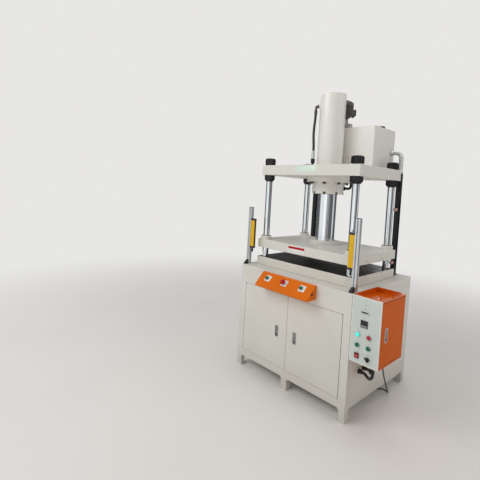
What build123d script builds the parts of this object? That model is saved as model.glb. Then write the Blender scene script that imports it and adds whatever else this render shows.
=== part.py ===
from build123d import *
import math
import os

# A four-column hydraulic press standing on its own sheet-metal cabinet.
# Millimetres, +Z up, +X to the operator's right, -Y towards the operator.
# The origin is on the floor, at the centre of the four anchor holes.

# Cabinet
cabinet_width = 1020.0
cabinet_depth = 880.0
cabinet_height = 850.0
wall = 4.0
deck_thickness = 16.0
ground_clearance = 88.0
leg_face = 45.0
leg_return = 40.0
centre_leg = 52.0
leg_chamfer = 12.0
foot_size = 60.0
foot_thickness = 6.0
anchor_inset = 30.0
anchor_radius = 7.0
mullion_width = 40.0
side_cover_margin = 30.0
side_cover_bottom = 165.0
side_cover_top_margin = 50.0
side_cover_thickness = 2.0
side_cover_overlap = 20.0

# Cabinet doors
door_side_margin = 55.0
door_top_margin = 147.0
door_bottom_margin = 57.0
door_gap = 4.0
door_depth = 20.0
door_sheet = 2.0

# Pivot hinges shared by all doors
pivot_radius = 3.0
pivot_inset = 6.0
pivot_depth = 8.0
pivot_reach = 12.0
pivot_block = 14.0

# Flush latches
latch_width = 26.0
latch_length = 80.0
latch_plate = 3.0
latch_pocket_gap = 2.5
latch_pocket_depth = 15.0
latch_pivot = 5.0
latch_web = 4.0
latch_tongue = 12.0
latch_arm_gap = 12.0
latch_slot_length = 43.0
latch_slot_gap = 1.0
latch_pin_radius = 2.0
latch_eye = 4.0
latch_web_below = 12.0
latch_web_above = 2.0
keyhole_inset = 13.0
keyhole_radius = 6.0
lock_plug_radius = 5.6
latch_bridge = 3.0
latch_bridge_side = 2.0
latch_bridge_low = 4.0
latch_bridge_high = 22.0
door_latch_offset = 85.0
door_latch_shift = -10.0
door_latch_height = 411.0
latch_tongue_gap = 4.0

# Fits and clearances
running_fit = 0.06
seat_fit = 0.05
clear = 0.3

# Press plates and columns
press_y = -30.0
plate_width = 890.0
plate_depth = 610.0
plate_edge = 3.0
table_thickness = 70.0
slide_thickness = 70.0
crown_thickness = 80.0
daylight = 76.0
table_to_crown = 678.0
column_radius = 25.0
thread_radius = 24.0
column_from_end = 49.0
column_from_front = 43.0
column_x = plate_width / 2 - column_from_end
column_y = plate_depth / 2 - column_from_front
column_hole_gap = 0.5
column_seat = 5.0
nut_across = 75.0
nut_height = 58.0
nut_chamfer = 8.0
support_nut_height = 40.0
support_nut_taper = 12.0
support_nut_lip = 3.0
thread_end = 8.0
lifting_hole_radius = 7.0
lifting_hole_depth = 30.0
lifting_hole_half_spacing = 112.0
lifting_hole_shift = -20.0
table_lifting_drop = 13.0
slide_lifting_drop = 52.0
tooling_hole_radius = 7.0
tooling_hole_depth = 35.0
tooling_x = 200.0
tooling_y = 150.0

# Guide bushes
bush_radius = 43.0
bush_height = 30.0
bush_sleeve = 34.0

# Cylinder and ram
barrel_radius = 99.0
bore_radius = 84.0
barrel_above_crown = 578.0
barrel_cap = 40.0
flange_radius = 167.0
flange_thickness = 37.0
gland_radius = 122.0
gland_height = 93.0
ram_radius = 75.0
groove_depth = 3.0
groove_width = 4.0
groove_height = 25.0
piston_height = 80.0
piston_rest = 85.0
spigot_radius = 35.0
ram_flange_radius = 112.0
ram_flange_thickness = 31.0
screw_count = 8
screw_radius = 8.0
screw_head_radius = 12.0
screw_head_height = 16.0
screw_length = 100.0
flange_screw_circle = 146.0
gland_screw_circle = 113.0
screw_pocket_gap = 1.0

# Hydraulic fittings
port_angle = 222.0
port_height = 482.0
port_boss_radius = 16.0
port_boss_length = 12.0
hose_radius = 10.0
hose_offset = 132.0
hose_end_drop = 40.0
hose_bends = ((0.0, 0.0, 50.0), (-4.0, -3.0, 110.0), (-6.0, -4.0, 180.0), (-3.0, -2.0, 235.0),
              (0.0, 0.0, 275.0))
elbow_radius = 9.0
ferrule_radius = 12.0
ferrule_length = 63.0
hose_nut_radius = 14.0
hose_nut_height = 36.0
crown_nipple_height = 31.0
bleed_radius = 8.0
bleed_height = 16.0
gland_port_angle = 45.0
gland_port_height = 51.0
gland_pipe_radius = 10.0
gland_pipe_offset = 182.0

# Oil tank and power unit
tank_left = -180.0
tank_right = 310.0
tank_front = 76.0
tank_rear = 420.0
tank_height = 320.0
tank_wall = 3.0
lid_thickness = 8.0
filler_x = 262.0
filler_y = 270.0
filler_neck_radius = 20.0
filler_neck_height = 10.0
filler_cap_radius = 28.0
filler_cap_height = 22.0
motor_x = -50.0
motor_y = 205.0
motor_flange_radius = 68.0
motor_flange_height = 12.0
motor_neck_radius = 40.0
motor_neck_height = 124.0
motor_core_radius = 70.0
motor_fin_radius = 80.0
motor_fin_count = 24
motor_fin_width = 4.0
motor_body_height = 85.0
motor_cowl_height = 45.0
motor_cowl_knee = 20.25
motor_cowl_top_radius = 49.6
motor_neck_flare = 20.0
motor_inset = 2.0
motor_end_plate = 10.0
stator_bore = 45.0
rotor_gap = 0.6
shaft_radius = 9.0
coupling_room = 8.0
lid_shaft_gap = 6.0
shaft_end_gap = 2.0
fan_radius = 60.0
fan_hub = 10.0
fan_blade = 3.0
fan_blade_count = 7
fan_gap = 2.0
air_slot_inner = 14.0
air_slot_outer = 34.0
air_slot_width = 6.0
air_slot_count = 6
terminal_box = 50.0
terminal_reach = 100.0
terminal_rise = 8.0
terminal_turn = 45.0
pump_radius = 45.0
pump_height = 68.0
pump_grip = 30.0
suction_radius = 12.0
suction_clearance = 40.0
strainer_radius = 24.0
strainer_height = 60.0
block_left = -60.0
block_right = 92.0
block_depth = 40.0
block_height = 34.0
block_setback = 4.0
valve_length = 70.0
valve_height = 45.0
coil_radius = 18.0
coil_length = 60.0

# Conduit from the tank to the right-hand rail
conduit_boss_y = 368.0
conduit_boss_height = 147.0
conduit_radius = 17.0
conduit_bend = 42.0
conduit_boss_radius = 23.0
conduit_boss_length = 14.0

# Sensor rails behind the rear columns
rail_width = 34.0
rail_depth = 36.0
rail_y = 366.0
rail_top = 1660.0
rail_slot_top = 1460.0
rail_slot_bottom = 880.0
rail_slot_width = 20.0
rail_slot_depth = 8.0
rail_foot = 30.0
rail_plate = 6.0
rail_bracket_height = 40.0
sensor_size = 20.0
sensor_reach = 36.0
sensor_heights = (952.0, 1374.0)
lug_width = 40.0
lug_height = 40.0
lug_reach = 24.0

# Light curtains and their posts
post_size = 30.0
post_slot = 8.0
post_slot_depth = 7.0
post_height = 475.0
post_side_inset = 4.0
post_front_inset = 36.0
bracket_size = 33.0
bracket_width = 22.0
bracket_edge = 5.0
curtain_depth = 40.0
curtain_width = 26.0
curtain_bottom = 137.0
curtain_length = 244.0
curtain_cap = 16.0
connector_radius = 7.0
connector_length = 34.0
cable_radius = 2.5

# Two-hand control box
two_hand_x = -6.0
button_row_shift = -6.0
button_row_rise = 9.0
two_hand_width = 490.0
two_hand_bottom = 740.0
two_hand_height = 98.0
two_hand_depth = 99.0
two_hand_top = 16.0
two_hand_lip = 15.0
two_hand_sheet = 2.0
start_inset = 84.0
cable_hole_radius = 9.0
cable_hole_y = 490.0
cable_hole_z = 783.0

# Push buttons
button_cap = 13.0
button_travel = 4.0
button_rise = 9.0
ring_wall = 2.0
ring_height = 6.0
stem_radius = 6.0
body_radius = 11.0
body_length = 40.0
body_nut = 14.5
body_nut_height = 5.0
estop_radius = 20.0
estop_height = 15.0
estop_travel = 5.0

# Control box on the right side
box_width = 194.0
box_depth = 322.0
box_height = 420.0
box_sheet = 2.0
box_rim = 10.0
box_gap = 4.0
tray_depth = 30.0
tray_rim = 22.0
tray_rear_rim = 8.0
tray_left_rim = 4.0
box_door_depth = 14.0
panel_sheet = 3.0
panel_edge = 1.0
box_corner = 3.0
box_latch_inset = 64.0
box_latch_height = 632.0
panel_left = 53.0
panel_right = 126.0
panel_rows = (612.0, 546.0, 478.0)
timer_x = 89.0
timer_z = 684.0
timer_size = 48.0
timer_depth = 60.0
counter_z = 757.0
counter_width = 62.0
counter_height = 28.0
counter_depth = 40.0
meter_rise = 3.0
rocker_width = 22.0
rocker_height = 26.0
rocker_frame = 4.0
rocker_depth = 24.0
rocker_rise = 4.0
rocker_wall = 0.9
rocker_pin_radius = 1.5
rocker_tilt = 14.0
knob_radius = 13.0
knob_height = 10.0
knob_bar = 8.0
knob_bar_length = 34.0
knob_bar_height = 12.0
knob_rest_turn = 45.0
back_plate_margin = 30.0
back_plate_low_margin = 70.0
back_plate_setback = 96.6
back_plate = 3.0
gear_margin = 12.0
contactor_count = 3
contactor_width = 44.0
contactor_pitch = 50.0
contactor_depth = 70.0
contactor_drop = 14.0
contactor_height = 76.0
controller_depth = 60.0
controller_drop = 110.0
controller_height = 80.0
controller_setback = 20.0
terminal_strip_depth = 40.0
terminal_strip_lift = 14.0
terminal_strip_height = 40.0

# Glands, conduits and the power cord
gland_body = 16.0
gland_length = 26.0
gland_nut = 6.0
loop_radius = 9.5
cord_radius = 4.5
cord_gland_radius = 10.0
cord_gland_length = 34.0
cord_lift = 0.3
coil_mean_radius = 54.0
coil_half_width = 10.0
coil_height = 28.0
coil_edge = 4.0
plug_length = 44.0
plug_offset = 24.0
plug_relief_length = 30.0
plug_relief_radius = 7.0
plug_width = 36.0
plug_height = 26.0
plug_pin_radius = 2.4
plug_pin_length = 19.0
plug_pin_spacing = 11.0

# Heights and faces that follow
side = cabinet_width / 2
front = -cabinet_depth / 2
rear = cabinet_depth / 2
deck_bottom = cabinet_height - deck_thickness
table_top = cabinet_height + table_thickness
slide_bottom = table_top + daylight
slide_top = slide_bottom + slide_thickness
crown_bottom = table_top + table_to_crown
crown_top = crown_bottom + crown_thickness
barrel_top = crown_top + barrel_above_crown
flange_bottom = crown_bottom - flange_thickness
gland_bottom = flange_bottom - gland_height
tank_top = crown_top + tank_height
lid_top = tank_top + lid_thickness
box_left = side + side_cover_thickness
box_right = box_left + box_width
box_rear = front + box_depth
box_bottom = cabinet_height - box_height
cord_floor = cord_radius + cord_lift
door_half = side - door_side_margin
door_low = ground_clearance + door_bottom_margin
door_high = cabinet_height - door_top_margin
two_hand_left = two_hand_x - two_hand_width / 2
two_hand_right = two_hand_x + two_hand_width / 2
columns_xy = [(sx * column_x, press_y + sy * column_y) for sx in (-1, 1) for sy in (-1, 1)]


def block(x0, x1, y0, y1, z0, z1):
    """A box between two opposite corners."""
    middle = Pos((x0 + x1) / 2, (y0 + y1) / 2, (z0 + z1) / 2)
    return middle * Box(abs(x1 - x0), abs(y1 - y0), abs(z1 - z0))


def upright(x, y, z0, z1, radius):
    """A cylinder that stands between two heights."""
    return Pos(x, y, (z0 + z1) / 2) * Cylinder(radius, z1 - z0)


def ring(x, y, z0, z1, outer, inner):
    """An upright tube between two heights."""
    return upright(x, y, z0, z1, outer) - upright(x, y, z0 - 1, z1 + 1, inner)


def cone(x, y, z0, z1, low_radius, high_radius):
    """An upright cone between two heights."""
    return Pos(x, y, (z0 + z1) / 2) * Cone(low_radius, high_radius, z1 - z0)


def hexagon(x, y, z0, z1, across):
    """An upright hexagonal prism, measured across its flats."""
    flat = RegularPolygon(across / 2, 6, major_radius=False)
    return Pos(x, y, z0) * extrude(flat, z1 - z0)


def lying_x(x0, x1, y, z, radius):
    """A cylinder along X."""
    return Pos((x0 + x1) / 2, y, z) * Rot(0, 90, 0) * Cylinder(radius, abs(x1 - x0))


def lying_y(x, y0, y1, z, radius):
    """A cylinder along Y."""
    return Pos(x, (y0 + y1) / 2, z) * Rot(90, 0, 0) * Cylinder(radius, abs(y1 - y0))


def save(shape, node):
    """Write one node, as one solid or a group of separate solids."""
    parts = shape if isinstance(shape, list) else [shape]
    solids = [solid for part in parts for solid in part.solids()]
    whole = solids[0] if len(solids) == 1 else Compound(children=solids)
    export_step(whole, "parts/" + node + ".step")


def route_radii(points):
    """The largest arc that each corner of a route has room for."""
    radii = []
    for before, here, after in zip(points, points[1:], points[2:]):
        run_in = Vector(*here) - Vector(*before)
        run_out = Vector(*after) - Vector(*here)
        half_turn = math.radians(run_in.get_angle(run_out)) / 2
        radii.append(0.45 * min(run_in.length, run_out.length) / math.tan(half_turn))
    return radii


def tube(name, points, radius):
    """A round cord along straight runs joined by tangent arcs."""
    radii = route_radii(points)
    path = FilletPolyline(*points, radius=radii)
    start = Plane(origin=path @ 0, z_dir=path % 0)
    solid = sweep(start * Circle(radius), path=path)
    expected = math.pi * radius**2 * path.length
    print(name, "length", round(path.length, 1), "volume ratio", round(solid.volume / expected, 5),
          "least radius", round(min(radii), 1), "radii", [round(r) for r in radii])
    return solid


# Cabinet body

def leg_cutouts():
    """What is taken from the walls so that legs stay at the corners and in the middle."""
    cuts = []
    for y0 in (front - 1, rear - wall - 1):
        for x0, x1 in ((-side + leg_face, -centre_leg / 2), (centre_leg / 2, side - leg_face)):
            cut = block(x0, x1, y0, y0 + wall + 2, -1, ground_clearance)
            corners = cut.edges().filter_by(Axis.Y).group_by(Axis.Z)[-1]
            cuts.append(chamfer(corners, leg_chamfer))
    for x0 in (-side - 1, side - wall - 1):
        cut = block(x0, x0 + wall + 2, front + leg_face, rear - leg_face, -1, ground_clearance)
        corners = cut.edges().filter_by(Axis.X).group_by(Axis.Z)[-1]
        cuts.append(chamfer(corners, leg_chamfer))
    return cuts


def leg_returns():
    """The folds that stiffen each leg, and the foot plates with their anchor holes."""
    pieces = []
    for sx in (-1, 1):
        for sy, face in ((-1, front), (1, rear)):
            inner_x = sx * (side - leg_face)
            inner_y = face - sy * leg_face
            pieces.append(block(inner_x, inner_x + sx * wall, face, face - sy * leg_return, 0,
                                ground_clearance))
            pieces.append(block(sx * side, sx * (side - leg_return), inner_y, inner_y + sy * wall, 0,
                                ground_clearance))
            foot = block(sx * side, sx * (side - foot_size), face, face - sy * foot_size, 0, foot_thickness)
            hole = upright(sx * (side - anchor_inset), face - sy * anchor_inset, -1, foot_thickness + 1,
                           anchor_radius)
            pieces.append(foot - hole)
    for sy, face in ((-1, front), (1, rear)):
        for sx in (-1, 1):
            edge = sx * centre_leg / 2
            pieces.append(block(edge, edge - sx * wall, face, face - sy * leg_return, 0, ground_clearance))
        pieces.append(block(-centre_leg / 2, centre_leg / 2, face, face - sy * leg_return, 0, foot_thickness))
    return pieces


def side_opening(sx):
    """The service opening in a side wall, behind the side cover."""
    y0 = front + side_cover_margin + side_cover_overlap
    y1 = rear - side_cover_margin - side_cover_overlap
    z0 = side_cover_bottom + side_cover_overlap
    z1 = cabinet_height - side_cover_top_margin - side_cover_overlap
    return block(sx * (side - wall - 1), sx * (side + 1), y0, y1, z0, z1)


def cabinet_shell():
    """Deck, walls, floor pan, mullion, legs and feet, folded and welded into one piece."""
    shell = block(-side, side, front, rear, deck_bottom, cabinet_height)
    shell += block(-side, side, front, front + wall, 0, cabinet_height)
    shell += block(-side, side, rear - wall, rear, 0, cabinet_height)
    shell += block(-side, -side + wall, front, rear, 0, cabinet_height)
    shell += block(side - wall, side, front, rear, 0, cabinet_height)
    shell += block(-side, side, front, rear, ground_clearance, ground_clearance + wall)
    shell -= block(-door_half, door_half, front - 1, front + wall + 1, door_low, door_high)
    for cut in leg_cutouts():
        shell -= cut
    for sx in (-1, 1):
        shell -= side_opening(sx)
    mullion_front = front + door_depth + 2 * clear
    shell += block(-mullion_width / 2, mullion_width / 2, mullion_front, mullion_front + wall,
                   ground_clearance, cabinet_height - 1)
    for piece in leg_returns():
        shell += piece
    for x, y in columns_xy:
        shell -= upright(x, y, deck_bottom - 1, cabinet_height + 1, thread_radius + column_hole_gap)
    shell -= upright(grommet_xy[0], grommet_xy[1], deck_bottom - 1, cabinet_height + 1,
                     cable_radius + seat_fit)
    shell -= lying_y(two_hand_x, front - 1, front + wall + 1, two_hand_bottom + two_hand_height / 2,
                     cable_hole_radius)
    return shell


def side_covers():
    """The two removable covers, with the entries of the conduits in the right one."""
    covers = []
    for sx in (-1, 1):
        cover = block(sx * side, sx * (side + side_cover_thickness), front + side_cover_margin,
                      rear - side_cover_margin, side_cover_bottom, cabinet_height - side_cover_top_margin)
        if sx > 0:
            for y, z in entry_yz:
                cover -= lying_x(side - 1, side + side_cover_thickness + 1, y, z, thread_of(gland_body))
        covers.append(cover)
    return covers


def thread_of(body):
    """The radius of a gland's threaded neck."""
    return body * 0.75


# Flush latches, drawn with X across, Y up and Z out of the door's face

def latch_pocket():
    """The pocket that is pressed into a door, and the slot through its floor."""
    half_x = latch_width / 2 + latch_pocket_gap
    half_y = latch_length / 2 + latch_pocket_gap
    outer = block(-half_x - door_sheet, half_x + door_sheet, -half_y - door_sheet, half_y + door_sheet,
                  -latch_pocket_depth - door_sheet, 0)
    hollow = block(-half_x, half_x, -half_y, half_y, -latch_pocket_depth, 1)
    slot_x = latch_web / 2 + latch_slot_gap
    slot_high = half_y - latch_slot_gap
    slot = block(-slot_x, slot_x, slot_high - latch_slot_length, slot_high,
                 -latch_pocket_depth - door_sheet - 1, 0)
    pin_y = latch_length / 2 - latch_pivot
    pin_hole = lying_x(-half_x - door_sheet - 1, half_x + door_sheet + 1, pin_y, -latch_pivot,
                       latch_pin_radius)
    return outer, hollow, slot, pin_hole


def latch_handle(reach):
    """The flush plate with its pin, web and tongue; the tongue reaches that far along X."""
    half_x = latch_width / 2
    half_y = latch_length / 2
    pin_y = half_y - latch_pivot
    plate = block(-half_x, half_x, -half_y, half_y, -latch_plate, 0)
    plate -= Pos(0, keyhole_inset - half_y, -latch_plate / 2) * Cylinder(keyhole_radius, latch_plate + 2)
    button = Pos(0, keyhole_inset - half_y, -latch_plate - 1) * Cylinder(lock_plug_radius, 2 * latch_plate)
    bridge_x = half_x - latch_bridge_side
    bridge = block(-bridge_x, bridge_x, latch_bridge_low - half_y, latch_bridge_high - half_y,
                   -latch_plate - latch_bridge, -latch_plate)
    eye = block(-half_x, half_x, pin_y - latch_eye, half_y, -2 * latch_pivot, -latch_plate)
    pin_end = half_x + latch_pocket_gap + door_sheet
    pin = lying_x(-pin_end, pin_end, pin_y, -latch_pivot, latch_pin_radius - running_fit)
    arm_back = -latch_pocket_depth - door_sheet - latch_arm_gap
    web = block(-latch_web / 2, latch_web / 2, pin_y - latch_web_below, pin_y + latch_web_above,
                arm_back - latch_web, -latch_plate)
    tongue = block(0, reach, pin_y - latch_tongue, pin_y, arm_back - latch_web, arm_back)
    return plate + bridge + button + eye + pin + web + tongue


def door_pan(width, height, depth, sheet):
    """A sheet door with its four edges folded back; lower left corner at the origin, face at Z zero."""
    pan = block(0, width, 0, height, -depth, 0)
    return pan - block(sheet, width - sheet, sheet, height - sheet, -depth - 1, -sheet)


def pivot_hole(x, height):
    """The hole for the hinge pins in a door's upper and lower folds."""
    hole = Pos(x, height / 2, -pivot_depth) * Rot(90, 0, 0) * Cylinder(pivot_radius + running_fit, height + 2)
    return hole


def cabinet_door(sx):
    """One cabinet door, hinged at its outer edge."""
    width = door_half - door_gap * 1.5
    height = door_high - door_low - 2 * door_gap
    latch_x = door_half - door_gap - abs(door_latch_x[sx])
    latch_y = door_latch_height - door_low - door_gap
    return make_door(sx, width, height, door_depth, door_sheet, latch_x, latch_y)


def make_door(hand, width, height, depth, sheet, latch_x, latch_y):
    """A door seen from outside with its hinge at the left for hand -1, or at the right for hand 1."""
    pan = door_pan(width, height, depth, sheet)
    outer, hollow, slot, pin_hole = latch_pocket()
    spot = Pos(latch_x, latch_y, 0)
    door = pan + spot * outer
    door -= spot * hollow
    door -= spot * slot
    door -= spot * pin_hole
    door -= pivot_hole(pivot_inset, height)
    if hand > 0:
        door = mirror(door, about=Plane.YZ)
    return door


door_planes = {
    -1: Plane(origin=(-door_half + door_gap, front, door_low + door_gap), x_dir=(1, 0, 0), z_dir=(0, -1, 0)),
    1: Plane(origin=(door_half - door_gap, front, door_low + door_gap), x_dir=(1, 0, 0), z_dir=(0, -1, 0)),
}
door_latch_x = {sx: sx * door_latch_offset + door_latch_shift for sx in (-1, 1)}
door_latch_planes = {
    sx: Plane(origin=(door_latch_x[sx], front, door_latch_height), x_dir=(1, 0, 0), z_dir=(0, -1, 0))
    for sx in (-1, 1)
}
box_door_low = box_bottom + box_rim + box_gap
box_door_high = cabinet_height - box_rim - box_gap
box_door_front = front + box_rim + box_gap
box_door_rear = box_rear - box_rim - box_gap
box_door_plane = Plane(origin=(box_right, box_door_rear, box_door_low), x_dir=(0, 1, 0), z_dir=(1, 0, 0))
box_latch_y = box_door_front + box_latch_inset
box_latch_plane = Plane(origin=(box_right, box_latch_y, box_latch_height), x_dir=(0, 1, 0), z_dir=(1, 0, 0))


def hinge_half(x, y, edge, way, gap, tall, face_x, face_y):
    """A block behind the frame's wall, and the pin that it carries into one end of a door."""
    base = block(x - pivot_block / 2, x + pivot_block / 2, y - pivot_block / 2, y + pivot_block / 2,
                 edge, edge + way * tall)
    far = 4 * pivot_block
    base -= block(face_x, face_x + math.copysign(far, face_x - x), y - far, y + far, edge - far, edge + far)
    base -= block(x - far, x + far, face_y, face_y + math.copysign(far, face_y - y), edge - far, edge + far)
    tip = edge - way * (gap + pivot_reach)
    pin = upright(x, y, min(tip, edge), max(tip, edge), pivot_radius)
    if way < 0:
        pin += upright(x, y, edge, edge + gap - clear, 2 * pivot_radius)
    return base + pin


def hinge_pins():
    """The fixed hinge halves of the cabinet doors and of the control box door."""
    pieces = []
    for edge, way in ((door_high, 1), (door_low, -1)):
        for sx in (-1, 1):
            x = sx * (door_half - door_gap - pivot_inset)
            pieces.append(hinge_half(x, front + pivot_depth, edge, way, door_gap, pivot_block,
                                     sx * side, front + wall))
    for edge, way in ((cabinet_height - box_rim, 1), (box_bottom + box_rim, -1)):
        pieces.append(hinge_half(box_right - pivot_depth, box_door_rear - pivot_inset, edge, way, box_gap,
                                 box_rim - box_sheet, box_right - box_sheet, box_rear - box_sheet))
    return pieces


# Press frame

def plate(z0, z1):
    """One of the three thick plates, with its sharp edges broken."""
    solid = block(-plate_width / 2, plate_width / 2, press_y - plate_depth / 2, press_y + plate_depth / 2,
                  z0, z1)
    return chamfer(solid.edges(), plate_edge)


def lifting_holes(z):
    """Tapped holes in both ends of a plate."""
    holes = []
    for sx in (-1, 1):
        for sy in (-1, 1):
            y = press_y + lifting_hole_shift + sy * lifting_hole_half_spacing
            end = sx * plate_width / 2
            holes.append(lying_x(end + sx, end - sx * lifting_hole_depth, y, z, lifting_hole_radius))
    return holes


def tooling_holes(z0, z1):
    """Four tapped holes for tooling."""
    return [upright(sx * tooling_x, press_y + sy * tooling_y, z0, z1, tooling_hole_radius)
            for sx in (-1, 1) for sy in (-1, 1)]


def table_plate():
    """The bed plate on the cabinet's deck."""
    solid = plate(cabinet_height, table_top)
    for x, y in columns_xy:
        solid -= upright(x, y, cabinet_height - 1, table_top + 1, thread_radius + column_hole_gap)
        solid -= upright(x, y, table_top - column_seat, table_top + 1, column_radius + column_hole_gap)
    holes = lifting_holes(table_top - table_lifting_drop)
    holes += tooling_holes(table_top - tooling_hole_depth, table_top + 1)
    for hole in holes:
        solid -= hole
    return solid


def slide_plate():
    """The moving plate, with the lug that trips the sensors at its rear."""
    solid = plate(slide_bottom, slide_top)
    rear_face = press_y + plate_depth / 2
    middle = (slide_bottom + slide_top) / 2
    solid += block(column_x - lug_width / 2, column_x + lug_width / 2, rear_face - 2 * plate_edge,
                   rear_face + lug_reach, middle - lug_height / 2, middle + lug_height / 2)
    for x, y in columns_xy:
        solid -= upright(x, y, slide_bottom - 1, slide_top + 1, bush_sleeve + seat_fit)
    holes = lifting_holes(slide_top - slide_lifting_drop)
    holes += tooling_holes(slide_bottom - 1, slide_bottom + tooling_hole_depth)
    for hole in holes:
        solid -= hole
    return solid


def crown_plate():
    """The upper plate, bored for the cylinder and tapped for its flange screws."""
    solid = plate(crown_bottom, crown_top)
    for x, y in columns_xy:
        solid -= upright(x, y, crown_bottom - 1, crown_top + 1, thread_radius + column_hole_gap)
    solid -= upright(0, press_y, crown_bottom - 1, crown_top + 1, barrel_radius + column_hole_gap)
    for x, y in screw_ring(flange_screw_circle):
        solid -= upright(x, y, crown_bottom - 1, flange_bottom + screw_length + 2, screw_radius + seat_fit)
    return solid


def column(x, y):
    """A chromed column that stands in its seat, turned down to its threads at both ends."""
    shoulder = crown_bottom - support_nut_height - support_nut_taper - support_nut_lip
    solid = upright(x, y, table_top - column_seat, shoulder, column_radius)
    bottom = deck_bottom - nut_height - thread_end
    solid += upright(x, y, bottom, crown_top + nut_height - thread_end, thread_radius)
    return solid


def tall_nut(x, y, z, way):
    """A hexagon nut with a chamfered outer end; it stands on z and points up or down."""
    end = z + way * nut_height
    body = hexagon(x, y, min(z, end), max(z, end), nut_across)
    corner = nut_across / math.sqrt(3)
    if way > 0:
        body &= upright(x, y, z, end - nut_chamfer, corner) + cone(x, y, end - nut_chamfer, end, corner,
                                                                   corner - nut_chamfer)
    else:
        body &= upright(x, y, end + nut_chamfer, z, corner) + cone(x, y, end, end + nut_chamfer,
                                                                   corner - nut_chamfer, corner)
    return body - upright(x, y, min(z, end) - 1, max(z, end) + 1, thread_radius + seat_fit)


def support_nut(x, y):
    """The nut under the crown, tapering to the column."""
    low = crown_bottom - support_nut_height
    body = hexagon(x, y, low, crown_bottom, nut_across)
    body += cone(x, y, low - support_nut_taper, low, column_radius + support_nut_lip, nut_across / 2)
    return body - upright(x, y, low - support_nut_taper - 1, crown_bottom + 1, thread_radius + seat_fit)


def guide_bush(x, y):
    """A flanged bush that guides the slide on its column."""
    body = upright(x, y, slide_top, slide_top + bush_height, bush_radius)
    body = chamfer(body.edges().group_by(Axis.Z)[-1], 3)
    body += upright(x, y, slide_bottom, slide_top, bush_sleeve)
    return body - upright(x, y, slide_bottom - 1, slide_top + bush_height + 1, column_radius + running_fit)


# Cylinder and ram

def screw_ring(circle):
    """The screw positions round the press axis."""
    step = 360.0 / screw_count
    return [(circle * math.cos(math.radians(step * (i + 0.5))),
             press_y + circle * math.sin(math.radians(step * (i + 0.5)))) for i in range(screw_count)]


port_direction = (math.cos(math.radians(port_angle)), math.sin(math.radians(port_angle)))
gland_direction = (math.cos(math.radians(gland_port_angle)), math.sin(math.radians(gland_port_angle)))
port_z = crown_top + port_height
gland_port_z = gland_bottom + gland_port_height


def radial(direction, r0, r1, z, radius):
    """A cylinder that points away from the press axis."""
    x0, y0 = direction[0] * r0, press_y + direction[1] * r0
    spot = Plane(origin=(x0, y0, z), z_dir=(direction[0], direction[1], 0))
    return spot * Pos(0, 0, (r1 - r0) / 2) * Cylinder(radius, r1 - r0)


def cylinder_barrel():
    """Tube, closed end, mounting flange and the upper port's boss, welded into one."""
    body = upright(0, press_y, flange_bottom, barrel_top, barrel_radius)
    body = chamfer(body.edges().group_by(Axis.Z)[-1], 4)
    body += upright(0, press_y, flange_bottom, crown_bottom, flange_radius)
    body += radial(port_direction, barrel_radius - 3, barrel_radius + port_boss_length, port_z,
                   port_boss_radius)
    body -= upright(0, press_y, flange_bottom - 1, barrel_top - barrel_cap, bore_radius)
    body -= radial(port_direction, bore_radius - 5, barrel_radius + port_boss_length + 1, port_z, 5)
    for x, y in screw_ring(flange_screw_circle):
        body -= upright(x, y, flange_bottom - 1, crown_bottom + 1, screw_radius + seat_fit)
    for x, y in screw_ring(gland_screw_circle):
        body -= upright(x, y, flange_bottom - 1, crown_bottom - 5, screw_radius + seat_fit)
    return body


def cylinder_gland():
    """The guide and seal housing under the flange, with open pockets for its screws."""
    body = upright(0, press_y, gland_bottom, flange_bottom, gland_radius)
    body = chamfer(body.edges().group_by(Axis.Z)[0], 3)
    body -= upright(0, press_y, gland_bottom - 1, flange_bottom + 1, ram_radius + running_fit)
    for x, y in screw_ring(gland_screw_circle):
        body -= upright(x, y, gland_bottom - 1, gland_bottom + screw_head_height + 1,
                        screw_head_radius + screw_pocket_gap)
        body -= upright(x, y, gland_bottom, flange_bottom + 1, screw_radius + seat_fit)
    body -= radial(gland_direction, gland_radius - 20, gland_radius + 1, gland_port_z,
                   gland_pipe_radius + seat_fit)
    return body


def cap_screw(x, y, seat):
    """A socket-head screw that is driven upwards; its head hangs below the seat."""
    head = upright(x, y, seat - screw_head_height, seat, screw_head_radius)
    socket = Pos(x, y, seat - screw_head_height) * extrude(RegularPolygon(screw_radius * 0.8, 6), 8)
    return head - socket + upright(x, y, seat, seat + screw_length, screw_radius)


def cylinder_screws():
    """The screws of the gland and of the flange."""
    gland = [cap_screw(x, y, gland_bottom + screw_head_height + 1) for x, y in screw_ring(gland_screw_circle)]
    flange = [cap_screw(x, y, flange_bottom) for x, y in screw_ring(flange_screw_circle)]
    return gland + flange


def ram():
    """The chromed ram, grooved near its foot and turned down to hold the piston."""
    top = flange_bottom + piston_rest
    body = upright(0, press_y, slide_top, top, ram_radius)
    body += upright(0, press_y, top, top + piston_height, spigot_radius)
    groove_z = slide_top + ram_flange_thickness + groove_height
    body -= ring(0, press_y, groove_z, groove_z + groove_width, ram_radius + 1, ram_radius - groove_depth)
    return body


def piston():
    """The piston on the ram's spigot, with two ring grooves."""
    bottom = flange_bottom + piston_rest
    body = ring(0, press_y, bottom, bottom + piston_height, bore_radius - running_fit,
                spigot_radius + seat_fit)
    for share in (0.3, 0.7):
        z = bottom + piston_height * share
        body -= ring(0, press_y, z - 4, z + 4, bore_radius + 1, bore_radius - 6)
    return body


def ram_flange():
    """The ring that bolts the ram to the slide."""
    body = upright(0, press_y, slide_top, slide_top + ram_flange_thickness, ram_flange_radius)
    body = chamfer(body.edges().group_by(Axis.Z)[-1], 3)
    return body - upright(0, press_y, slide_top - 1, slide_top + ram_flange_thickness + 1,
                          ram_radius + seat_fit)


# Hose, pipes and fittings

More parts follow.
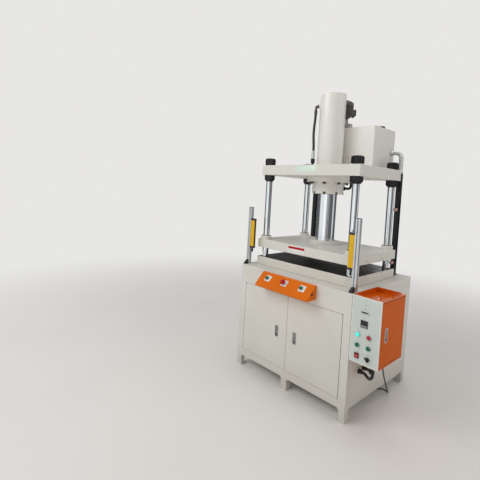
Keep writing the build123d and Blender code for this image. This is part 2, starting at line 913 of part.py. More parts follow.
hose_x = port_direction[0] * hose_offset
hose_y = press_y + port_direction[1] * hose_offset
hose_top = port_z - hose_end_drop
hose_low = crown_top + crown_nipple_height + hose_nut_height + ferrule_length
hose_route = [(hose_x, hose_y, hose_top)]
hose_route += [(hose_x + dx, hose_y + dy, hose_top - drop) for dx, dy, drop in hose_bends]
hose_route.append((hose_x, hose_y, hose_low))


def bent_pipe(points, bends, radius):
    """A rigid round pipe with formed bends."""
    path = FilletPolyline(*points, radius=bends)
    start = Plane(origin=path @ 0, z_dir=path % 0)
    return sweep(start * Circle(radius), path=path)


def hose_fittings():
    """Elbow, ferrules and nuts of the hose, the bleed screw, and the pipe from the gland to the crown."""
    seat = barrel_radius + port_boss_length
    inner = (port_direction[0] * (seat + 6), press_y + port_direction[1] * (seat + 6), port_z)
    corner = (hose_x, hose_y, port_z)
    elbow = bent_pipe([inner, corner, (hose_x, hose_y, hose_top + 8)], [12.0], elbow_radius)
    elbow += radial(port_direction, seat, seat + 8, port_z, hose_nut_radius)
    elbow += upright(hose_x, hose_y, hose_top, hose_top + 10, ferrule_radius)
    nipple_top = crown_top + crown_nipple_height
    foot = upright(hose_x, hose_y, crown_top, nipple_top, ferrule_radius)
    foot += hexagon(hose_x, hose_y, nipple_top, nipple_top + hose_nut_height, 2 * hose_nut_radius)
    foot += upright(hose_x, hose_y, nipple_top + hose_nut_height, hose_low, ferrule_radius)
    bleed = hexagon(0, press_y, barrel_top, barrel_top + bleed_height * 0.6, 2 * bleed_radius)
    bleed += upright(0, press_y, barrel_top, barrel_top + bleed_height, bleed_radius * 0.5)
    start = (gland_direction[0] * (gland_radius - 18), press_y + gland_direction[1] * (gland_radius - 18),
             gland_port_z)
    turn = (gland_direction[0] * gland_pipe_offset, press_y + gland_direction[1] * gland_pipe_offset,
            gland_port_z)
    pipe = bent_pipe([start, turn, (turn[0], turn[1], crown_bottom)], [22.0], gland_pipe_radius)
    pipe += upright(turn[0], turn[1], crown_bottom - 14, crown_bottom, gland_pipe_radius + 4)
    return [elbow, foot, bleed, pipe]


def tank_conduit():
    """The formed conduit from the tank's right side to the top of the right-hand rail."""
    z = crown_top + conduit_boss_height
    boss = lying_x(tank_right, tank_right + conduit_boss_length, conduit_boss_y, z, conduit_boss_radius)
    points = [(tank_right + 2, conduit_boss_y, z), (column_x, conduit_boss_y, z),
              (column_x, conduit_boss_y, rail_top + conduit_radius)]
    pipe = bent_pipe(points, [conduit_bend], conduit_radius)
    end = upright(column_x, conduit_boss_y, rail_top, rail_top + conduit_radius + 2, conduit_radius + 2)
    return boss + pipe + end


# Oil tank and power unit

def oil_tank():
    """The welded tank, open at its top."""
    body = block(tank_left, tank_right, tank_front, tank_rear, crown_top, tank_top)
    corners = body.edges().filter_by(Axis.Z)
    body = fillet(corners, 4)
    return body - block(tank_left + tank_wall, tank_right - tank_wall, tank_front + tank_wall,
                        tank_rear - tank_wall, crown_top + tank_wall, tank_top + 1)


def tank_lid():
    """The lid with the filler's neck."""
    lid = block(tank_left, tank_right, tank_front, tank_rear, tank_top, lid_top)
    lid += upright(filler_x, filler_y, lid_top, lid_top + filler_neck_height, filler_neck_radius)
    lid -= upright(filler_x, filler_y, tank_top - 1, lid_top + filler_neck_height + 1, filler_neck_radius - 4)
    lid -= upright(motor_x, motor_y, tank_top - 1, lid_top + 1, shaft_radius + lid_shaft_gap)
    return lid


def filler_cap():
    """The vented cap, which turns on the filler's neck."""
    top = lid_top + filler_cap_height
    cap = upright(filler_x, filler_y, lid_top + clear, top, filler_cap_radius)
    cap = chamfer(cap.edges().group_by(Axis.Z)[-1], 3)
    cap -= upright(filler_x, filler_y, lid_top, lid_top + filler_neck_height + clear,
                   filler_neck_radius + running_fit)
    for i in range(12):
        angle = math.radians(30 * i)
        cap -= upright(filler_x + (filler_cap_radius + 1) * math.cos(angle),
                       filler_y + (filler_cap_radius + 1) * math.sin(angle), lid_top - 1, top + 1, 3)
    return cap


motor_body_low = lid_top + motor_neck_height
motor_body_high = motor_body_low + motor_body_height
motor_top = motor_body_high + motor_cowl_height
cowl_knee = motor_body_high + motor_cowl_knee


def motor_housing():
    """Mounting flange, neck, finned body, terminal box and fan cowl, hollow inside."""
    body = upright(motor_x, motor_y, lid_top, lid_top + motor_flange_height, motor_flange_radius)
    body += upright(motor_x, motor_y, lid_top, motor_body_low, motor_neck_radius)
    body += cone(motor_x, motor_y, motor_body_low - motor_neck_flare, motor_body_low, motor_neck_radius,
                 motor_core_radius)
    body += upright(motor_x, motor_y, motor_body_low, motor_body_high, motor_core_radius)
    for i in range(motor_fin_count):
        fin = block(motor_core_radius - motor_inset, motor_fin_radius, -motor_fin_width / 2,
                    motor_fin_width / 2, motor_body_low + motor_inset, motor_body_high - motor_inset)
        body += Pos(motor_x, motor_y, 0) * Rot(0, 0, i * 360.0 / motor_fin_count) * fin
    body += upright(motor_x, motor_y, motor_body_high - 2 * motor_inset, cowl_knee, motor_fin_radius)
    body += cone(motor_x, motor_y, cowl_knee, motor_top, motor_fin_radius, motor_cowl_top_radius)
    box_low = motor_body_low + terminal_rise
    box = block(motor_core_radius - 2 * motor_inset, terminal_reach, -terminal_box / 2, terminal_box / 2,
                box_low, box_low + terminal_box)
    body += Pos(motor_x, motor_y, 0) * Rot(0, 0, terminal_turn) * box
    body -= upright(motor_x, motor_y, motor_body_low + motor_end_plate, motor_body_high - motor_end_plate,
                    stator_bore)
    body -= upright(motor_x, motor_y, motor_body_high, cowl_knee + motor_inset, motor_core_radius)
    body -= upright(motor_x, motor_y, lid_top - 1, motor_body_low - motor_end_plate,
                    shaft_radius + coupling_room)
    body -= upright(motor_x, motor_y, lid_top - 1, motor_body_high + 1, shaft_radius + running_fit)
    for i in range(air_slot_count):
        slot = block(air_slot_inner, air_slot_outer, -air_slot_width / 2, air_slot_width / 2, cowl_knee,
                     motor_top + 1)
        body -= Pos(motor_x, motor_y, 0) * Rot(0, 0, i * 360.0 / air_slot_count) * slot
    return body


def motor_rotor():
    """Shaft, rotor core and cooling fan."""
    low = tank_top - pump_grip
    fan_low = motor_body_high + fan_gap
    fan_high = cowl_knee - fan_gap
    body = upright(motor_x, motor_y, low, fan_high, shaft_radius)
    body += upright(motor_x, motor_y, motor_body_low + motor_end_plate + fan_gap,
                    motor_body_high - motor_end_plate - fan_gap, stator_bore - rotor_gap)
    body += upright(motor_x, motor_y, fan_low, fan_high, shaft_radius + fan_hub)
    for i in range(fan_blade_count):
        blade = block(shaft_radius + fan_hub / 2, fan_radius, -fan_blade / 2, fan_blade / 2, fan_low,
                      fan_high)
        body += Pos(motor_x, motor_y, 0) * Rot(0, 0, i * 360.0 / fan_blade_count) * blade
    return body


def pump():
    """The pump under the lid with its suction pipe and strainer."""
    low = tank_top - pump_height
    body = upright(motor_x, motor_y, low, tank_top, pump_radius)
    body -= upright(motor_x, motor_y, tank_top - pump_grip - shaft_end_gap, tank_top + 1,
                    shaft_radius + running_fit)
    pipe_low = crown_top + tank_wall + suction_clearance
    body += upright(motor_x + pump_radius / 2, motor_y, pipe_low, low + 1, suction_radius)
    body += upright(motor_x + pump_radius / 2, motor_y, pipe_low, pipe_low + strainer_height, strainer_radius)
    return body


def valve_block():
    """The manifold on the lid with its directional valve and two coils."""
    y0 = tank_front + block_setback
    y1 = y0 + block_depth
    top = lid_top + block_height
    body = block(block_left, block_right, y0, y1, lid_top, top)
    valve_left = block_left - coil_length / 2
    body += block(valve_left, valve_left + valve_length, y0 + 3, y1 - 3, top, top + valve_height)
    middle_y = (y0 + y1) / 2
    middle_z = top + valve_height / 2
    for end, way in ((valve_left, -1), (valve_left + valve_length, 1)):
        body += lying_x(end, end + way * coil_length, middle_y, middle_z, coil_radius)
    return body


# Sensor rails

def sensor_rail(sx):
    """A black rail with a slot in its right face, its foot and its bracket to the crown."""
    x = sx * column_x
    half = rail_width / 2
    y0 = rail_y - rail_depth / 2
    y1 = rail_y + rail_depth / 2
    body = block(x - half, x + half, y0, y1, cabinet_height, rail_top)
    body -= block(x + half - rail_slot_depth, x + half + 1, rail_y - rail_slot_width / 2,
                  rail_y + rail_slot_width / 2, rail_slot_bottom, rail_slot_top)
    body += block(x - half, x + half, y0, y1 + rail_foot, cabinet_height, cabinet_height + rail_plate)
    crown_rear = press_y + plate_depth / 2
    middle = (crown_bottom + crown_top) / 2
    body += block(x - half, x - half + rail_plate, crown_rear, y0 + 1, middle - rail_bracket_height / 2,
                  middle + rail_bracket_height / 2)
    body += block(x - half - 14, x + half, crown_rear, crown_rear + rail_plate,
                  middle - rail_bracket_height / 2,
                  middle + rail_bracket_height / 2)
    return body


def limit_sensors():
    """Two block sensors on the front of the right-hand rail."""
    front_face = rail_y - rail_depth / 2
    sensors = []
    for z in sensor_heights:
        body = block(column_x - sensor_size / 2, column_x + sensor_size / 2, front_face - sensor_reach,
                     front_face, z - sensor_size / 2, z + sensor_size / 2)
        sensors.append(fillet(body.edges().filter_by(Axis.Y), 2))
    return sensors


# Light curtains

post_x = side - post_side_inset - post_size / 2
post_y = front + post_front_inset + post_size / 2
curtain_low = cabinet_height + curtain_bottom


def curtain_post(sx):
    """An extruded post with a slot along each face."""
    x = sx * post_x
    half = post_size / 2
    top = cabinet_height + post_height
    body = block(x - half, x + half, post_y - half, post_y + half, cabinet_height, top)
    body = fillet(body.edges().filter_by(Axis.Z), 1.5)
    for dx, dy in ((1, 0), (-1, 0), (0, 1), (0, -1)):
        cx = x + dx * (half - post_slot_depth / 2)
        cy = post_y + dy * (half - post_slot_depth / 2)
        wide_x = post_slot_depth + 0.01 if dx else post_slot
        wide_y = post_slot_depth + 0.01 if dy else post_slot
        cut = Pos(cx, cy, (cabinet_height + top) / 2) * Box(wide_x, wide_y, post_height + 2)
        body -= cut
    return body


def post_bracket(sx):
    """A triangular corner bracket between the deck and a post's front face."""
    x = sx * post_x
    face = post_y - post_size / 2
    plane = Plane(origin=(x + bracket_width / 2, face, cabinet_height), x_dir=(0, -1, 0), z_dir=(-1, 0, 0))
    edge = bracket_edge
    outline = Polyline((0, 0), (bracket_size, 0), (bracket_size, edge), (edge, bracket_size),
                       (0, bracket_size), close=True)
    return extrude(plane * make_face(outline), bracket_width)


def light_curtain(sx):
    """A curtain's housing with its end caps and connector."""
    inner = sx * (post_x - post_size / 2)
    far = inner - sx * curtain_depth
    y0 = post_y - curtain_width / 2
    y1 = post_y + curtain_width / 2
    z0 = curtain_low
    z1 = curtain_low + curtain_length
    body = block(inner, far, y0, y1, z0 + curtain_cap, z1 - curtain_cap)
    body = fillet(body.edges().filter_by(Axis.Z), 3)
    for a, b in ((z0, z0 + curtain_cap), (z1 - curtain_cap, z1)):
        body += block(inner, far + sx, y0 + 1, y1 - 1, a, b)
    middle = inner - sx * curtain_depth / 2
    body += upright(middle, post_y, z0 - connector_length, z0 + 1, connector_radius)
    return body


grommet_xy = (468.0, -412.0)
curtain_exit = (post_x - post_size / 2 - curtain_depth / 2, post_y, curtain_low - connector_length)
curtain_route = [
    curtain_exit,
    (curtain_exit[0], curtain_exit[1], 936.0),
    (448.0, -398.0, 920.0),
    (431.0, -403.0, 904.0),
    (430.0, -408.0, 886.0),
    (445.0, -411.0, 875.0),
    (461.0, -412.0, 869.0),
    (grommet_xy[0], grommet_xy[1], 856.0),
    (grommet_xy[0], grommet_xy[1], 848.0),
]


# Two-hand control box

two_hand_front = front - two_hand_depth
two_hand_high = two_hand_bottom + two_hand_height
slope_low = (two_hand_front, two_hand_bottom + two_hand_lip)
slope_high = (front - two_hand_top, two_hand_high)


def two_hand_outline(inset):
    """The end outline of the box, from the cabinet's face round the slope and back."""
    back = front + (0 if inset == 0 else 1)
    lean = inset * (math.sqrt(2) - 1)
    return [
        (back, two_hand_bottom + inset),
        (two_hand_front + inset, two_hand_bottom + inset),
        (slope_low[0] + inset, slope_low[1] - lean),
        (slope_high[0] + lean, slope_high[1] - inset),
        (back, two_hand_high - inset),
    ]


def two_hand_prism(inset, x0, x1):
    """The outline carried along X."""
    plane = Plane(origin=(x0, 0, 0), x_dir=(0, 1, 0), z_dir=(1, 0, 0))
    face = make_face(Polyline(*two_hand_outline(inset), close=True))
    return extrude(plane * face, x1 - x0)


slope_direction = Vector(0, slope_high[0] - slope_low[0], slope_high[1] - slope_low[1]).normalized()
slope_normal = Vector(0, -slope_direction.Z, slope_direction.Y)


def slope_plane(x):
    """A plane on the slope at the height of the buttons, with Z out of it."""
    middle = Vector(x, (slope_low[0] + slope_high[0]) / 2, (slope_low[1] + slope_high[1]) / 2)
    return Plane(origin=middle + slope_direction * button_row_rise, x_dir=(1, 0, 0), z_dir=slope_normal)


start_spacing = two_hand_width / 2 - start_inset
button_row = [two_hand_x + button_row_shift + k * start_spacing for k in (-1, 0, 1)]


def two_hand_box():
    """The folded box, open towards the cabinet."""
    body = two_hand_prism(0, two_hand_left, two_hand_right)
    body -= two_hand_prism(two_hand_sheet, two_hand_left + two_hand_sheet, two_hand_right - two_hand_sheet)
    for x in button_row:
        hole = Cylinder(body_radius + seat_fit, 4 * two_hand_sheet)
        body -= slope_plane(x) * Pos(0, 0, -two_hand_sheet) * hole
    body -= lying_x(two_hand_right - 2 * two_hand_sheet, two_hand_right + 1, -cable_hole_y, cable_hole_z,
                    cable_hole_radius)
    return body


# Push buttons, drawn with Z out of the panel and the panel's face at zero

def button_body(sheet):
    """Bezel ring, threaded body and nut of a push button."""
    outer = button_cap + clear + ring_wall
    body = Pos(0, 0, ring_height / 2) * Cylinder(outer, ring_height)
    body -= Pos(0, 0, ring_height / 2 + 1) * Cylinder(button_cap + clear, ring_height)
    body += Pos(0, 0, -body_length / 2 + 0.5) * Cylinder(body_radius, body_length + 1)
    body += Pos(0, 0, -sheet - body_nut_height / 2) * Cylinder(body_nut, body_nut_height)
    return body - Pos(0, 0, -body_length / 2) * Cylinder(stem_radius + running_fit, body_length + 20)


def button(travel, cap_rise):
    """The moving cap and stem."""
    low = 1 + travel + clear
    high = ring_height + cap_rise
    cap = Pos(0, 0, (low + high) / 2) * Cylinder(button_cap, high - low)
    cap = fillet(cap.edges().group_by(Axis.Z)[-1], 1.5)
    stem_low = -body_length + travel + 1
    return cap + Pos(0, 0, (stem_low + low) / 2) * Cylinder(stem_radius, low - stem_low)


def estop_stem():
    """The part of the emergency stop that only slides."""
    low = -body_length + estop_travel + 1
    high = ring_height + estop_travel + 9
    return Pos(0, 0, (low + high) / 2) * Cylinder(stem_radius, high - low)


def estop_head():
    """The mushroom, which slides with the stem and turns on it."""
    low = ring_height + estop_travel + 1
    high = low + estop_height
    head = Pos(0, 0, (low + high) / 2) * Cylinder(estop_radius, estop_height)
    head = fillet(head.edges().group_by(Axis.Z)[-1], 5)
    head = chamfer(head.edges().group_by(Axis.Z)[0], 2)
    bore_high = ring_height + estop_travel + 9 + clear
    bore = Cylinder(stem_radius + running_fit, bore_high - low + 1)
    return head - Pos(0, 0, (low - 1 + bore_high) / 2) * bore


# Control box

def panel_plane(x, z):
    """A plane on the front panel, with Z towards the operator."""
    return Plane(origin=(box_left + x, front, z), x_dir=(1, 0, 0), z_dir=(0, -1, 0))


def control_box():
    """The folded box behind its front panel, with a tray in its top; open at the front and at the right."""
    box_front = front + panel_sheet
    body = block(box_left, box_right, box_front, box_rear, box_bottom, cabinet_height)
    body = fillet(body.edges().filter_by(Axis.Z).group_by(Axis.X)[-1], box_corner)
    body -= block(box_left + box_sheet, box_right - box_sheet, box_front + box_sheet, box_rear - box_sheet,
                  box_bottom + box_sheet, cabinet_height - box_sheet)
    tray = (box_left + tray_left_rim, box_right - tray_rim, box_front + tray_rim, box_rear - tray_rear_rim)
    tray_floor = cabinet_height - tray_depth
    body += block(tray[0] - box_sheet, tray[1] + box_sheet, tray[2] - box_sheet, tray[3] + box_sheet,
                  tray_floor - box_sheet, cabinet_height - box_sheet)
    body -= block(*tray, tray_floor, cabinet_height + 1)
    body -= block(box_left + box_rim, box_right - box_rim, box_front - 1, box_front + box_sheet + 1,
                  box_bottom + box_rim, cabinet_height - tray_depth - box_rim)
    body -= block(box_right - box_sheet - 1, box_right + 1, front + box_rim, box_rear - box_rim,
                  box_bottom + box_rim, cabinet_height - box_rim)
    for x, y in exit_xy:
        body -= upright(x, y, box_bottom - 1, box_bottom + box_sheet + 1, thread_of(gland_body))
    body -= upright(cord_exit_xy[0], cord_exit_xy[1], box_bottom - 1, box_bottom + box_sheet + 1,
                    thread_of(cord_gland_radius))
    return body


def panel_holes():
    """What the buttons, the meters and the switch take from the front panel."""
    cuts = []
    depth = 4 * panel_sheet
    for x, z in button_spots:
        cuts.append(panel_plane(x, z) * Cylinder(body_radius + seat_fit, depth))
    cuts.append(panel_plane(timer_x, timer_z) * Box(timer_size - 4, timer_size - 4, depth))
    cuts.append(panel_plane(timer_x, counter_z) * Box(counter_width - 4, counter_height - 4, depth))
    cuts.append(panel_plane(panel_left, panel_rows[2]) * Box(rocker_width + 2 * clear + 2,
                                                             rocker_height + 2 * clear + 2, depth))
    return cuts


button_spots = [
    (panel_left, panel_rows[0]),
    (panel_right, panel_rows[0]),
    (panel_left, panel_rows[1]),
    (panel_right, panel_rows[1]),
    (panel_right, panel_rows[2]),
]


def control_panel_plate():
    """The front panel, screwed over the whole front of the box."""
    body = block(box_left, box_right, front, front + panel_sheet, box_bottom, cabinet_height)
    body = chamfer(body.edges().group_by(Axis.Y)[0], panel_edge)
    for cut in panel_holes():
        body -= cut
    return body


def panel_meters():
    """Timer and counter, each in its cut-out with a bezel on the panel."""
    meters = []
    for z, wide, high, deep in ((timer_z, timer_size, timer_size, timer_depth),
                                (counter_z, counter_width, counter_height, counter_depth)):
        body = Pos(0, 0, meter_rise / 2) * Box(wide, high, meter_rise)
        body = chamfer(body.edges().group_by(Axis.Z)[-1], 1)
        body += Pos(0, 0, -deep / 2) * Box(wide - 4.4, high - 4.4, deep)
        meters.append(panel_plane(timer_x, z) * body)
    return meters


def rocker_housing():
    """The frame and the box of the square switch."""
    wide = rocker_width + 2 * clear
    high = rocker_height + 2 * clear
    body = Pos(0, 0, rocker_rise / 2) * Box(wide + 2 * rocker_frame, high + 2 * rocker_frame, rocker_rise)
    body += Pos(0, 0, -rocker_depth / 2) * Box(wide + 2 * rocker_wall, high + 2 * rocker_wall, rocker_depth)
    body -= Pos(0, 0, rocker_rise) * Box(wide, high, 2 * rocker_depth - rocker_rise / 2)
    pin_end = wide / 2 + rocker_wall
    return body - lying_x(-pin_end - 1, pin_end + 1, 0, 0, rocker_pin_radius + running_fit)


def power_rocker():
    """The lit rocker on its cross pin."""
    reach = rocker_height / 2 / math.cos(math.radians(rocker_tilt)) - 1.5
    plane = Plane(origin=(-rocker_width / 2, 0, 0), x_dir=(0, 1, 0), z_dir=(1, 0, 0))
    outline = Polyline((-reach, 7), (0, 5), (reach, 7), (reach - 2, -3), (0, -6), (-reach + 2, -3),
                       close=True)
    body = extrude(plane * make_face(outline), rocker_width)
    pin_end = rocker_width / 2 + clear + rocker_wall
    body += lying_x(-pin_end, pin_end, 0, 0, rocker_pin_radius)
    return Rot(rocker_tilt / 2, 0, 0) * body


def selector_body():
    """The fixed part of the rotary selector."""
    body = Pos(0, 0, 2) * Cylinder(knob_radius + 2, 4)
    body += Pos(0, 0, -body_length / 2 + 0.5) * Cylinder(body_radius, body_length + 1)
    body += Pos(0, 0, -panel_sheet - body_nut_height / 2) * Cylinder(body_nut, body_nut_height)
    return body - Pos(0, 0, -body_length / 2) * Cylinder(stem_radius + running_fit, body_length + 20)


def selector_knob():
    """The knob with its finger bar, and its stem."""
    low = 4 + clear
    base = Pos(0, 0, low + knob_height / 2) * Cylinder(knob_radius, knob_height)
    bar = Box(knob_bar, knob_bar_length, knob_bar_height)
    bar = Pos(0, 2, low + knob_height + knob_bar_height / 2 - 1) * bar
    bar = fillet(bar.edges().filter_by(Axis.Z), 3)
    stem_low = -body_length + 2
    knob = base + bar + Pos(0, 0, (stem_low + low) / 2) * Cylinder(stem_radius, low - stem_low)
    return Rot(0, 0, knob_rest_turn) * knob


def button_bodies():
    """The fixed halves of every button and switch."""
    bodies = [slope_plane(x) * button_body(two_hand_sheet) for x in button_row]
    bodies += [panel_plane(x, z) * button_body(panel_sheet) for x, z in button_spots[:4]]
    bodies.append(panel_plane(*button_spots[4]) * selector_body())
    bodies.append(panel_plane(panel_left, panel_rows[2]) * rocker_housing())
    return bodies


def control_gear():
    """The mounting plate with contactors, a controller and a terminal strip."""
    face = box_left + box_sheet + back_plate
    y0 = front + back_plate_setback
    y1 = box_rear - back_plate_margin
    z0 = box_bottom + back_plate_low_margin
    z1 = cabinet_height - tray_depth - back_plate_margin
    pieces = [block(face - back_plate, face, y0, y1, z0, z1)]
    gear_front = y0 + gear_margin
    gear_rear = y1 - controller_setback
    contactor_top = z1 - contactor_drop
    for i in range(contactor_count):
        low = gear_front + i * contactor_pitch
        pieces.append(block(face, face + contactor_depth, low, low + contactor_width,
                            contactor_top - contactor_height, contactor_top))
    controller_top = z1 - controller_drop
    pieces.append(block(face, face + controller_depth, gear_front, gear_rear,
                        controller_top - controller_height, controller_top))
    strip_low = z0 + terminal_strip_lift
    pieces.append(block(face, face + terminal_strip_depth, gear_front, gear_rear, strip_low,
                        strip_low + terminal_strip_height))
    return pieces


# Glands, conduits and the power cord

exit_xy = [(640.0, -362.0), (604.0, -330.0)]
entry_yz = [(-299.0, 312.0), (-243.0, 318.0)]
cord_exit_xy = (604.0, -152.0)


def gland(length, radius):
    """A cable gland along Z, with its face on the sheet at zero and its nut below."""
    body = Pos(0, 0, length / 2) * Cylinder(radius, length)
    body = chamfer(body.edges().group_by(Axis.Z)[-1], 3)
    body += Pos(0, 0, 4) * extrude(RegularPolygon(radius * 1.12, 6), 8)
    neck = box_sheet + gland_nut
    body += Pos(0, 0, -neck / 2) * Cylinder(thread_of(radius) - seat_fit, neck)
    return body + Pos(0, 0, -box_sheet - gland_nut / 2) * Cylinder(radius, gland_nut)


def cable_glands():
    """The glands of both conduits, at the control box and at the cabinet, and that of the power cord."""
    glands = []
    for x, y in exit_xy:
        spot = Plane(origin=(x, y, box_bottom), z_dir=(0, 0, -1))
        glands.append(spot * gland(gland_length, gland_body))
    for y, z in entry_yz:
        spot = Plane(origin=(side + side_cover_thickness, y, z), z_dir=(1, 0, 0))
        glands.append(spot * gland(gland_length, gland_body))
    spot = Plane(origin=(cord_exit_xy[0], cord_exit_xy[1], box_bottom), z_dir=(0, 0, -1))
    glands.append(spot * gland(cord_gland_length, cord_gland_radius))
    return glands


loop_start = box_bottom - gland_length
loop_end = side + side_cover_thickness + gland_length
front_loop = [
    (exit_xy[0][0], exit_xy[0][1], loop_start),
    (exit_xy[0][0], exit_xy[0][1], 372.0),
    (634.0, -356.0, 334.0),
    (608.0, -338.0, 309.0),
    (574.0, -313.0, 307.0),
    (556.0, entry_yz[0][0], entry_yz[0][1]),
    (loop_end, entry_yz[0][0], entry_yz[0][1]),
]
rear_loop = [
    (exit_xy[1][0], exit_xy[1][1], loop_start),
    (exit_xy[1][0], exit_xy[1][1], 376.0),
    (602.0, -316.0, 344.0),
    (588.0, -284.0, 324.0),
    (568.0, -254.0, 318.0),
    (554.0, entry_yz[1][0], entry_yz[1][1]),
    (loop_end, entry_yz[1][0], entry_yz[1][1]),
]
cord_start = box_bottom - cord_gland_length
coil_centre = (330.0, 527.0)
cord_route = [
    (cord_exit_xy[0], cord_exit_xy[1], cord_start),
    (cord_exit_xy[0], cord_exit_xy[1], 352.0),
    (601.0, -134.0, 288.0),
    (592.0, -78.0, 210.0),
    (573.0, 0.0, 126.0),
    (548.0, 84.0, 56.0),
    (528.0, 140.0, 17.0),
    (510.0, 170.0, cord_floor),
    (484.0, 180.0, cord_floor),
    (459.0, 171.0, cord_floor),
    (442.0, 150.0, cord_floor),
    (432.0, 108.0, cord_floor),
    (408.0, 46.0, cord_floor),
    (366.0, 14.0, cord_floor),
    (318.0, 30.0, cord_floor),
    (292.0, 84.0, cord_floor),
    (292.0, 174.0, cord_floor),
    (322.0, 280.0, cord_floor),
    (362.0, 366.0, cord_floor),
    (389.0, 440.0, cord_floor),
    (389.5, 506.0, cord_floor),
]


def cord_coil():
    """The outer shape of the wound spare length, lying on the floor."""
    x, y = coil_centre
    outer = coil_mean_radius + coil_half_width
    inner = coil_mean_radius - coil_half_width
    body = ring(x, y, cord_lift, cord_lift + coil_height, outer, inner)
    rims = body.edges().group_by(Axis.Z)
    return chamfer(rims[0] + rims[-1], coil_edge)


def power_plug():
    """The plug with its strain relief, body and three pins, where the cord leaves the coil."""
    y = coil_centre[1] + coil_mean_radius + coil_half_width - cord_radius
    z = cord_lift + plug_height / 2
    relief = coil_centre[0] - plug_offset
    face = relief - plug_relief_length
    body = block(face - plug_length, face, y - plug_width / 2, y + plug_width / 2, cord_lift,
                 cord_lift + plug_height)
    body = fillet(body.edges().filter_by(Axis.X), 6)
    body += lying_x(face - 1, relief, y, z, plug_relief_radius)
    for dy, dz in ((-plug_pin_spacing, -4), (plug_pin_spacing, -4), (0, 6)):
        tip = face - plug_length - plug_pin_length
        body += lying_x(tip, face - plug_length + 1, y + dy, z + dz, plug_pin_radius)
    return body


def write_cabinet():
    """Everything below the deck and the control boxes."""
    save(cabinet_shell(), "cabinet_shell")
    save(side_covers(), "side_covers")
    save(hinge_pins(), "hinge_pins")
    for sx, hand in ((-1, "left"), (1, "right")):
        save(door_planes[sx] * cabinet_door(sx), hand + "_door")
        reach = abs(door_latch_x[sx]) - mullion_width / 2 - latch_tongue_gap
        save(door_latch_planes[sx] * latch_handle(-sx * reach), hand + "_latch_handle")
    save(two_hand_box(), "two_hand_box")
    save(button_bodies(), "button_bodies")
    for x, hand in ((button_row[0], "left"), (button_row[2], "right")):
        save(slope_plane(x) * button(button_travel, button_rise), "start_button_" + hand)
    save(slope_plane(button_row[1]) * estop_stem(), "estop_stem")
    save(slope_plane(button_row[1]) * estop_head(), "estop_head")


def write_control_box():
    """The control box with its panel, door and fittings."""
    save(control_box(), "control_box")
    save(control_panel_plate(), "control_panel_plate")
    width = box_door_rear - box_door_front
    height = box_door_high - box_door_low
    latch_x = box_door_rear - box_latch_y
    door = make_door(1, width, height, box_door_depth, box_sheet, latch_x, box_latch_height - box_door_low)
    save(box_door_plane * door, "control_box_door")
    reach = box_latch_y - front - box_rim - latch_tongue_gap
    save(box_latch_plane * latch_handle(-reach), "control_latch_handle")
    save(control_gear(), "control_gear")
    save(panel_meters(), "panel_meters")
    names = ("lit_button", "stop_button", "green_button_upper", "green_button_lower")
    for name, spot in zip(names, button_spots):
        save(panel_plane(*spot) * button(button_travel, button_rise * 0.6), name)
    save(panel_plane(panel_left, panel_rows[2]) * power_rocker(), "power_rocker")
    save(panel_plane(*button_spots[4]) * selector_knob(), "selector_knob")
    save(cable_glands(), "cable_glands")


def write_press():
    """Plates, columns, cylinder and slide."""
    save(table_plate(), "table_plate")
    save([column(x, y) for x, y in columns_xy], "columns")
    nuts = [tall_nut(x, y, crown_top, 1) for x, y in columns_xy]
    nuts += [tall_nut(x, y, deck_bottom, -1) for x, y in columns_xy]
    save(nuts, "column_nuts")
    save([support_nut(x, y) for x, y in columns_xy], "crown_support_nuts")
    save(crown_plate(), "crown_plate")
    save(slide_plate(), "slide_plate")
    save([guide_bush(x, y) for x, y in columns_xy], "guide_bushes")
    save(cylinder_barrel(), "cylinder_barrel")
    save(cylinder_gland(), "cylinder_gland")
    save(cylinder_screws(), "cylinder_screws")
    save(ram(), "ram")
    save(piston(), "piston")
    save(ram_flange(), "ram_flange")
    save(hose_fittings(), "hose_fittings")


def write_power_unit():
    """Tank, motor, pump, valve and the rails behind."""
    save(oil_tank(), "oil_tank")
    save(tank_lid(), "tank_lid")
    save(filler_cap(), "filler_cap")
    save(motor_housing(), "motor_housing")
    save(motor_rotor(), "motor_rotor")
    save(pump(), "pump")
    save(valve_block(), "valve_block")
    save(tank_conduit(), "tank_conduit")
    save([sensor_rail(sx) for sx in (-1, 1)], "sensor_rails")
    save(limit_sensors(), "limit_sensors")


def write_guards_and_cords():
    """Light curtains, their posts, and every cord."""
    save([curtain_post(sx) for sx in (-1, 1)], "curtain_posts")
    save([post_bracket(sx) for sx in (-1, 1)], "post_brackets")
    save([light_curtain(sx) for sx in (-1, 1)], "light_curtains")
    save(tube("curtain_cable", curtain_route, cable_radius), "curtain_cable")
    save(tube("pressure_hose", hose_route, hose_radius), "pressure_hose")
    save(tube("conduit_front", front_loop, loop_radius), "conduit_front")
    save(tube("conduit_rear", rear_loop, loop_radius), "conduit_rear")
    save(tube("power_cord", cord_route, cord_radius), "power_cord")
    save(cord_coil(), "cord_coil")
    save(power_plug(), "power_plug")


os.makedirs("parts", exist_ok=True)
write_cabinet()
write_control_box()
write_press()
write_power_unit()
write_guards_and_cords()
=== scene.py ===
import math

import bpy
import numpy as np
from mathutils import Matrix, Vector


